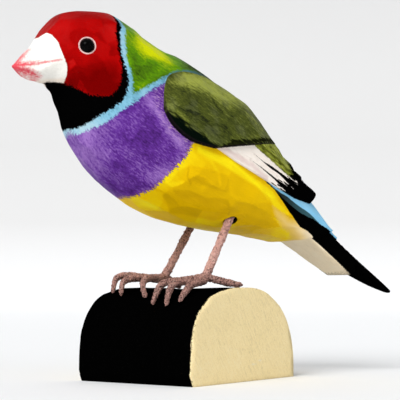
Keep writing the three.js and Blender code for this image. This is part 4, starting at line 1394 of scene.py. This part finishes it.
def leg_paint(paints):
    """Pink paint with dark specks over cast metal, and painted shade towards the feet and up the right leg.
    """
    p = Paint("leg_paint")
    place = p.place()
    speck = p.noise(place, 2.4, 3.0, 0.7)
    lump = p.noise(place, 1.1, 2.0, 0.6)
    drift = p.noise(place, 0.25, 2.0)
    mottle = p.add(p.math("MULTIPLY", drift, 0.4), lump, 0.8)
    pink = p.tones(mottle, shade(paints.leg, 0.66), paints.leg, blend(paints.leg, LEG_LIGHT, 0.6))
    # painted shade: browner, and with more dark specks, where it is deeper
    dirt = p.add(p.attribute("dirt"), drift, 0.12)
    colour = p.mix(p.ramp(dirt, 0.1, 1.4), pink, LEG_SHADE_AND_SPECK_BROWN, 0.8)
    colour = p.mix(p.ramp(p.attribute("claw"), 0.7, 1.0), colour, CLAW_GREY, 0.6)
    dots = p.ramp(p.add(speck, dirt, 0.4), 0.38, 0.55)
    colour = p.mix(dots, colour, shade(LEG_SHADE_AND_SPECK_BROWN, 0.4), 0.9)
    p.surface(colour, 0.55, 0.1)
    p.bump(p.math("ADD", speck, lump), 0.25, 1.0)
    return p.material


def bead_glass():
    """Black glass, solid and polished."""
    p = Paint("bead_glass")
    p.surface(p.tones(p.noise(p.place(), 0.6, 1.0), *BEAD_TONES), 0.08, 0.03)
    return p.material


def log_finish(paints):
    """Black paint over the round of the log, and bare sawn wood at its ends."""
    p = Paint("log_finish")
    place = p.place()
    fleck = p.noise(place, 1.6, 3.0, 0.6)
    pores = p.noise(place, 5.0, 2.0, 0.6)
    cloud = p.noise(place, 0.09, 2.0)
    along = p.math("MULTIPLY", p.attribute("saw_along"), 0.15)
    saw = p.noise(p.join(0.0, p.attribute("saw_across"), along), 1.8, 2.0)
    grain = p.add(p.add(p.math("MULTIPLY", saw, 0.4), fleck, 0.4), cloud, 0.2)
    wood = p.tones(grain, shade(paints.wood, 0.9), paints.wood, WOOD_LIGHT)
    wood = p.mix(p.ramp(pores, 0.45, 0.9), wood, WOOD_PORE, 0.45)
    wood = p.mix(p.area("scratch", fleck, 0.15, 0.25), wood, WOOD_SCRATCH, 0.8)
    dark = p.tones(fleck, *(shade(paints.black, factor) for factor in (0.5, 0.75, 1.2)))
    chips = p.math("MULTIPLY", p.math("ADD", fleck, pores), 0.2)
    bare = p.ramp(p.math("ADD", p.attribute("bare"), chips), 0.05, 0.15)
    rough = p.math("MULTIPLY_ADD", bare, 0.2, 0.55)
    p.surface(p.mix(bare, dark, wood), rough, p.math("MULTIPLY", bare, 0.03))
    p.bump(p.add(fleck, pores, 0.5), 0.12, 0.8)
    return p.material


def carved_body(sizes):
    """Points, faces and paint values of the whole bird."""
    step = sizes.grain_step / MM * 1.0
    view = SideView(step)
    count = int(2 * GRID_HALF_WIDTH / step) + 2
    low = (-GRID_HALF_WIDTH - GRID_SHIFT * step, SideView.LOW[0], SideView.LOW[1])
    values = np.stack([
        view.solid(np.full(view.yy.shape, low[0] + i * step), view.yy, view.zz, view.maps)
        for i in range(count)
    ])
    points, faces = skin_of(values, low, step, lambda at: view.solid(*at.T, view.at(at[:, 1], at[:, 2])))
    paint = paint_values(view, points)
    x, y, z = points.T
    inward = np.clip((TIPS_HALF_WIDTH - np.abs(x)) / TIPS_FADE, 0, 1)
    paint["tips"] = line_side(FEATHER_TIPS, y, z) + TIPS_FORWARD * inward
    paint["tertial_tips"] = line_side(TERTIAL_TIPS, y, z)
    from_tip = np.clip(y - BODY[0][0], 0, CORAL_REACH)
    paint["coral"] = np.minimum.reduce([
        segment_distance(y, z, start, end)[0] - width + taper * from_tip
        for start, end, width, taper in CORAL_STROKES
    ])
    # Painted shade inside the leg holes, weaker ahead of the left leg
    holes = [np.abs(leg_hole(side, x, y, z)) for side in ("left", "right")]
    paint["hole"] = np.minimum(*holes) + np.clip(HIP["left"][1] - HOLE_SHADOW_SHIFT - y, 0, 1)
    normals = vertex_normals(points, faces)
    facets = (sizes.facet_spacing / MM, sizes.facet_depth / MM, sizes.facet_reach / MM)
    smooth = smoothness(points, faces)
    points, paint["facet_light_and_shade"] = whittle(points, normals, smooth, *facets, CARVING_SEED)
    low, high = (np.array(corner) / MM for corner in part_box("finch_body"))
    return np.clip(points, low, high), faces, paint


class FINCH_OT_carve_body(bpy.types.Operator):
    """Carve and paint the bird."""

    bl_idname = "finch.carve_body"
    bl_label = "Carve the bird"

    def execute(self, context):
        points, faces, values = carved_body(context.scene.finch_carving)
        paint = BirdPaint(context.scene.finch_paints).finished()
        body = new_piece("carved_finch", points, faces, paint)
        keep_values(body, **values)
        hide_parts("finch_body")
        return {"FINISHED"}


def bead_mesh(centre, radius, rings=32, sides=64):
    """Points and faces of a ball with a point at each pole."""
    points, faces = [centre + (0, 0, radius)], []
    for i in range(1, rings):
        polar = math.pi * i / rings
        for k in range(sides):
            turn = 2 * math.pi * k / sides
            across, up = radius * math.sin(polar), radius * math.cos(polar)
            points.append(centre + (across * math.cos(turn), across * math.sin(turn), up))
    points.append(centre - (0, 0, radius))
    for k in range(sides):
        after = (k + 1) % sides
        faces.append((0, 1 + k, 1 + after))
        base = 1 + (rings - 2) * sides
        faces.append((len(points) - 1, base + after, base + k))
        for i in range(rings - 2):
            a, b = 1 + i * sides + k, 1 + i * sides + after
            faces.append((a, a + sides, b + sides, b))
    return points, faces


class FINCH_OT_set_eyes(bpy.types.Operator):
    """Set the glass bead eyes."""

    bl_idname = "finch.set_eyes"
    bl_label = "Set the eyes"

    def execute(self, context):
        glass = bead_glass()
        for side, (centre, radius) in EYES.items():
            points, faces = bead_mesh(centre, radius * BEAD_SHARE)
            bead = new_piece(f"bead_{side}", points, faces, glass)
            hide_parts(f"eye_{side}")
        return {"FINISHED"}


def bar_points(stops, start_radius, end_radius, power):
    """Points, radii and shares of the length along a smooth bar."""
    line = smooth_rows(stops, 6)
    travelled = np.append(0, np.cumsum(np.linalg.norm(np.diff(line, axis=0), axis=1)))
    share = travelled / travelled[-1]
    return line, start_radius + (end_radius - start_radius) * share ** power, share


def merge_bar(values, claw, axes, line, radii, shares, fillet):
    """Adds a bar of round segments to a grid of distances, with a small fillet where they meet.

    The grid of claws takes up how far along its bar each place is."""
    reach = 2.2
    step = axes[0][1] - axes[0][0]
    for a, b, ra, rb, sa, sb in zip(line, line[1:], radii, radii[1:], shares, shares[1:]):
        low, high = np.minimum(a, b) - reach, np.maximum(a, b) + reach
        block = tuple(
            slice(max(int((low[i] - axes[i][0]) / step), 0), int((high[i] - axes[i][0]) / step) + 2)
            for i in range(3)
        )
        grid = np.stack(np.meshgrid(*(axes[i][block[i]] for i in range(3)), indexing="ij"), -1)
        run = b - a
        share = np.clip(((grid - a) @ run) / (run @ run), 0, 1)
        gap = np.linalg.norm(grid - a - share[..., None] * run, axis=-1) - (ra + (rb - ra) * share)
        old = values[block]
        closeness = np.clip(0.5 + 0.5 * (old - gap) / fillet, 0, 1)
        values[block] = old * (1 - closeness) + gap * closeness - fillet * closeness * (1 - closeness)
        claw[block] = np.where(gap < old, sa + (sb - sa) * share, claw[block])


def leg_mesh(side):
    """Points and faces of one leg with its foot, how much painted shade it takes, and how near a claw's tip
    it is.
    """
    step = LEG_STEP
    hip, ankle = np.array(HIP[side]), np.array(ANKLE[side])
    inward = (hip - ankle) / np.linalg.norm(hip - ankle)
    low, high = (np.array(corner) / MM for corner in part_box(f"leg_{side}"))
    axes = [np.arange(low[i] - 1, high[i] + 1 + step, step) for i in range(3)]
    far = 9.0
    values = np.full([len(axis) for axis in axes], far)
    claw = np.zeros(values.shape)
    shank = [hip + inward * SHANK_DEPTH, hip, (hip + ankle) / 2, ankle]
    line, radii, shares = bar_points(shank, SHANK_RADIUS, SHANK_RADIUS * SHANK_FLARE, 1.0)
    knots = 1
    for swell, pitch in SHANK_KNOTS:
        knots = knots + swell * np.sin(line[:, 2] * pitch)
    merge_bar(values, claw, axes, line, radii * knots, shares * 0, SHANK_FILLET)
    for toe in TOES[side]:
        *toe, claw_root, claw_tip = np.array(toe)
        claw_tip = claw_tip + CLAW_SHARPNESS * (claw_tip - claw_root)
        stops = [ankle, *toe, claw_root, claw_tip]
        line, radii, shares = bar_points(stops, TOE_RADIUS, CLAW_RADIUS, TOE_TAPER)
        bands = 1 + TOE_BAND_DEPTH * np.sin(shares * TOE_BAND_PITCH)
        merge_bar(values, claw, axes, line, radii * bands, shares, TOE_FILLET)
    corner = [axis[0] for axis in axes]
    points, faces = skin_of(values, corner, step)
    where = np.clip(((points - corner) / step).astype(int), 0, np.array(values.shape) - 1)
    claws = claw[tuple(where.T)]
    rough = np.array([
        noise.noise(Vector(point * LUMP_PITCH)) + GRIT_SHARE * noise.noise(Vector(point * GRIT_PITCH))
        for point in points
    ])
    height = points[:, 2]
    # painted shade over the feet and, on the right leg, under the belly
    dirt = np.clip((ankle[2] + FOOT_SHADE_ABOVE - height) / FOOT_SHADE_FADE, 0, FOOT_SHADE_MOST)
    if side == "right":
        dirt += np.clip((height - THIGH_SHADE_FROM) / THIGH_SHADE_FADE, 0, THIGH_SHADE_MOST)
    uneven = LEG_ROUGHNESS * rough - LEG_SHRINK
    return points + vertex_normals(points, faces) * uneven[:, None], faces, dirt, claws


class FINCH_OT_cast_legs(bpy.types.Operator):
    """Cast and paint the legs with their feet."""

    bl_idname = "finch.cast_legs"
    bl_label = "Cast the legs"

    def execute(self, context):
        paint = leg_paint(context.scene.finch_paints)
        for side in ("left", "right"):
            points, faces, dirt, claws = leg_mesh(side)
            leg = new_piece(f"cast_leg_{side}", points, faces, paint)
            keep_values(leg, dirt=dirt, claw=claws)
            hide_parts(f"leg_{side}")
        return {"FINISHED"}


def log_outline(sizes, count):
    """Points of the log's section (across, up), from the foot's front corner over the ridge and back."""
    top, middle = sizes.height / MM, sizes.widest_height / MM
    front, rear, foot = -sizes.front_width / MM, sizes.rear_width / MM, sizes.front_foot / MM
    angles = np.linspace(math.pi, 0, 401)
    cosine, sine = np.cos(angles), np.clip(np.sin(angles), 0, 1)
    power = np.where(cosine < 0, 2 / sizes.front_round, 2 / sizes.rear_round)
    across = np.where(cosine < 0, front, rear) * np.abs(cosine) ** power
    up = middle + (top - middle) * sine ** power
    across, up = np.concatenate([[-foot], across, [rear]]), np.concatenate([[0], up, [0]])
    travelled = np.append(0, np.cumsum(np.hypot(np.diff(across), np.diff(up))))
    even = np.linspace(0, travelled[-1], count)
    arch = np.stack([np.interp(even, travelled, across), np.interp(even, travelled, up)], 1)
    base_count = int(count * LOG_BASE_SHARE)
    base = np.stack([np.linspace(rear, -foot, base_count + 2)[1:-1], np.zeros(base_count)], 1)
    return np.concatenate([arch, base])


def log_mesh(sizes):
    """Points and faces of the half log, and how bare its wood is."""
    outline = log_outline(sizes, LOG_ARCH_POINTS)
    half, sides = sizes.length / MM / 2, len(outline)
    between = np.linspace(-half + LOG_BEVEL, half - LOG_BEVEL, LOG_STATIONS)
    stations = np.concatenate([[-half], between, [half]])
    inset = np.concatenate([[LOG_BEVEL], np.zeros(LOG_STATIONS), [LOG_BEVEL]])
    hub = np.array([0, sizes.height / MM * LOG_HUB_HEIGHT])
    shrink = [1 - (i / LOG_END_RINGS) for i in range(1, LOG_END_RINGS)]
    points, bare = [], []

    def add_ring(place, section, value):
        points.extend((place, across, up) for across, up in section)
        bare.extend([value] * len(section))

    def scaled(share, inward):
        section = hub + (outline - hub) * share
        out = (outline - hub) / np.linalg.norm(outline - hub, axis=1)[:, None]
        section = section - out * inward
        section[:, 1] = np.maximum(section[:, 1], 0)
        return section

    for share in reversed(shrink):
        add_ring(-half, scaled(share, LOG_BEVEL * share), LOG_END_BARE)
    for place, inward in zip(stations, inset):
        rim = LOG_NEAR_RIM if place > 0 else LOG_FAR_RIM
        add_ring(place, scaled(1.0, inward), rim - LOG_RIM_FADE * (half - abs(place)))
    for share in shrink:
        add_ring(half, scaled(share, LOG_BEVEL * share), LOG_END_BARE)
    rings = len(points) // sides
    faces = [
        (i * sides + k, (i + 1) * sides + k, (i + 1) * sides + (k + 1) % sides, i * sides + (k + 1) % sides)
        for i in range(rings - 1) for k in range(sides)
    ]
    points += [(-half, *hub), (half, *hub)]
    bare += [LOG_END_BARE, LOG_END_BARE]
    last, base = len(points) - 1, (rings - 1) * sides
    for k in range(sides):
        after = (k + 1) % sides
        faces.append((last - 1, k, after))
        faces.append((last, base + after, base + k))
    return np.array(points, float), faces, np.array(bare)


def whittled_log(points, faces):
    """The log's points with knife cuts over its round, and none on its sawn ends or its underside."""
    quads = np.array([face if len(face) == 4 else (*face, face[2]) for face in faces])
    normals = vertex_normals(points, quads)
    round_side = (np.abs(normals[:, 0]) < LOG_END_FACING) & (points[:, 2] > LOG_UNDERSIDE)
    facets = (LOG_CUT_SPACING, LOG_CUT_DEPTH, LOG_CUT_REACH)
    carved, _ = whittle(points, normals, np.ones(len(points)), *facets, LOG_SEED)
    return np.where(round_side[:, None], carved, points)


class FINCH_OT_saw_log(bpy.types.Operator):
    """Saw, whittle and paint the half log."""

    bl_idname = "finch.saw_log"
    bl_label = "Saw the log"

    def execute(self, context):
        sizes = context.scene.finch_log
        points, faces, bare = log_mesh(sizes)
        points = whittled_log(points, faces)
        _, y, z = points.T
        across = y * math.sin(SAW_LEAN) + z * math.cos(SAW_LEAN)
        along = y * math.cos(SAW_LEAN) - z * math.sin(SAW_LEAN)
        scratch = segment_distance(y, z, *SCRATCH)[0] - SCRATCH_HALF_WIDTH
        turn = Matrix.Rotation(sizes.turn, 3, "Z")
        points = points @ np.array(turn).T
        log = new_piece("half_log", points, faces, log_finish(context.scene.finch_paints))
        keep_values(log, bare=bare, saw_across=across, saw_along=along, scratch=scratch)
        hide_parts("log_base")
        return {"FINISHED"}


def aim(thing, place, target):
    """Places a camera or a light, in metres, facing a target."""
    thing.location = place
    thing.rotation_euler = (Vector(target) - Vector(place)).to_track_quat("-Z", "Y").to_euler()


def add_light(name, kind, energy, place, target):
    """A light in the scene, facing a target."""
    light = bpy.data.lights.new(name, kind)
    light.energy = energy
    holder = bpy.data.objects.new(name, light)
    bpy.context.scene.collection.objects.link(holder)
    aim(holder, place, target)
    return light


def backdrop_mesh(half_width):
    """Floor that bends up into a wall behind the bird, seen from the camera's side."""
    start = half_width * BACKDROP_DEPTH
    profile = [(-half_width, 0.0), (start, 0.0)]
    for i in range(1, BEND_STEPS + 1):
        angle = math.pi / 2 * i / BEND_STEPS
        profile.append((start + BACKDROP_BEND * math.sin(angle), BACKDROP_BEND * (1 - math.cos(angle))))
    profile.append((start + BACKDROP_BEND, BACKDROP_BEND + BACKDROP_WALL))
    points, faces = [], []
    for distance, up in profile:
        for sign in (-1, 1):
            across = ACROSS_CAMERA * sign * half_width * BACKDROP_WIDTH
            points.append(tuple(AWAY_FROM_CAMERA * distance + across + Vector((0, 0, up))))
    for i in range(len(profile) - 1):
        faces.append((2 * i, 2 * i + 1, 2 * i + 3, 2 * i + 2))
    return points, faces


def backdrop_paper():
    """Pale matt paper, with painted light making it lighter at the floor than at the wall."""
    paper = Paint("pale_paper")
    height = paper.split(paper.place())[2]
    # painted light: lighter at the floor, darker up the wall
    shaded = paper.math("SUBTRACT", paper.math("DIVIDE", height, PAPER_FADE), 1.0)
    paper.surface(paper.tones(shaded, *PAPER_LIGHT_FALLOFF), 0.9, 0.1)
    return paper.material


class FINCH_OT_set_stage(bpy.types.Operator):
    """Lay the floor, and set the lights and the camera."""

    bl_idname = "finch.set_stage"
    bl_label = "Set the stage"

    def execute(self, context):
        stage = context.scene.finch_stage
        points, faces = backdrop_mesh(stage.floor_half_width)
        backdrop = mesh_object("backdrop", points, faces, backdrop_paper())

        key = add_light("key_light", "SUN", stage.key_strength, KEY_PLACE, LIGHT_TARGET)
        key.angle = stage.key_softness
        fill = add_light("fill_light", "AREA", stage.fill_power, FILL_PLACE, LIGHT_TARGET)
        fill.shape = "DISK"
        fill.size = FILL_SIZE
        world = bpy.data.worlds.new("room")
        world.use_nodes = True
        background = world.node_tree.nodes["Background"]
        background.inputs["Color"].default_value = (1, 1, 1, 1)
        background.inputs["Strength"].default_value = stage.sky_strength
        context.scene.world = world
        context.scene.view_settings.view_transform = "Standard"

        camera = bpy.data.cameras.new("camera")
        camera.lens = stage.lens
        camera.sensor_width = SENSOR_WIDTH
        camera.clip_start = NEAREST_SEEN
        holder = bpy.data.objects.new("camera", camera)
        context.scene.collection.objects.link(holder)
        aim(holder, CAMERA_PLACE, CAMERA_TARGET)
        context.scene.camera = holder
        return {"FINISHED"}


class FINCH_PT_panel(bpy.types.Panel):
    """Lists the steps and their sizes and colours."""

    bl_idname = "FINCH_PT_panel"
    bl_label = "Painted finch"
    bl_space_type = "VIEW_3D"
    bl_region_type = "UI"
    bl_category = "Finch"

    def draw(self, context):
        layout = self.layout
        for step in STEPS:
            layout.operator(step.bl_idname)
        for group in GROUPS:
            settings = getattr(context.scene, group)
            for name in settings.bl_rna.properties.keys():
                if name not in ("rna_type", "name"):
                    layout.prop(settings, name)


GROUPS = {
    "finch_carving": FinchCarving,
    "finch_paints": FinchPaints,
    "finch_log": FinchLog,
    "finch_stage": FinchStage,
}
STEPS = (
    FINCH_OT_carve_body,
    FINCH_OT_set_eyes,
    FINCH_OT_cast_legs,
    FINCH_OT_saw_log,
    FINCH_OT_set_stage,
)
CLASSES = (*GROUPS.values(), *STEPS, FINCH_PT_panel)


def register():
    for item in CLASSES:
        bpy.utils.register_class(item)
    for name, group in GROUPS.items():
        setattr(bpy.types.Scene, name, bpy.props.PointerProperty(type=group))


def unregister():
    for name in GROUPS:
        delattr(bpy.types.Scene, name)
    for item in reversed(CLASSES):
        bpy.utils.unregister_class(item)


def main():
    register()
    bpy.ops.finch.set_stage()
    bpy.ops.finch.carve_body()
    bpy.ops.finch.set_eyes()
    bpy.ops.finch.cast_legs()
    bpy.ops.finch.saw_log()


if __name__ == "__main__":
    main()
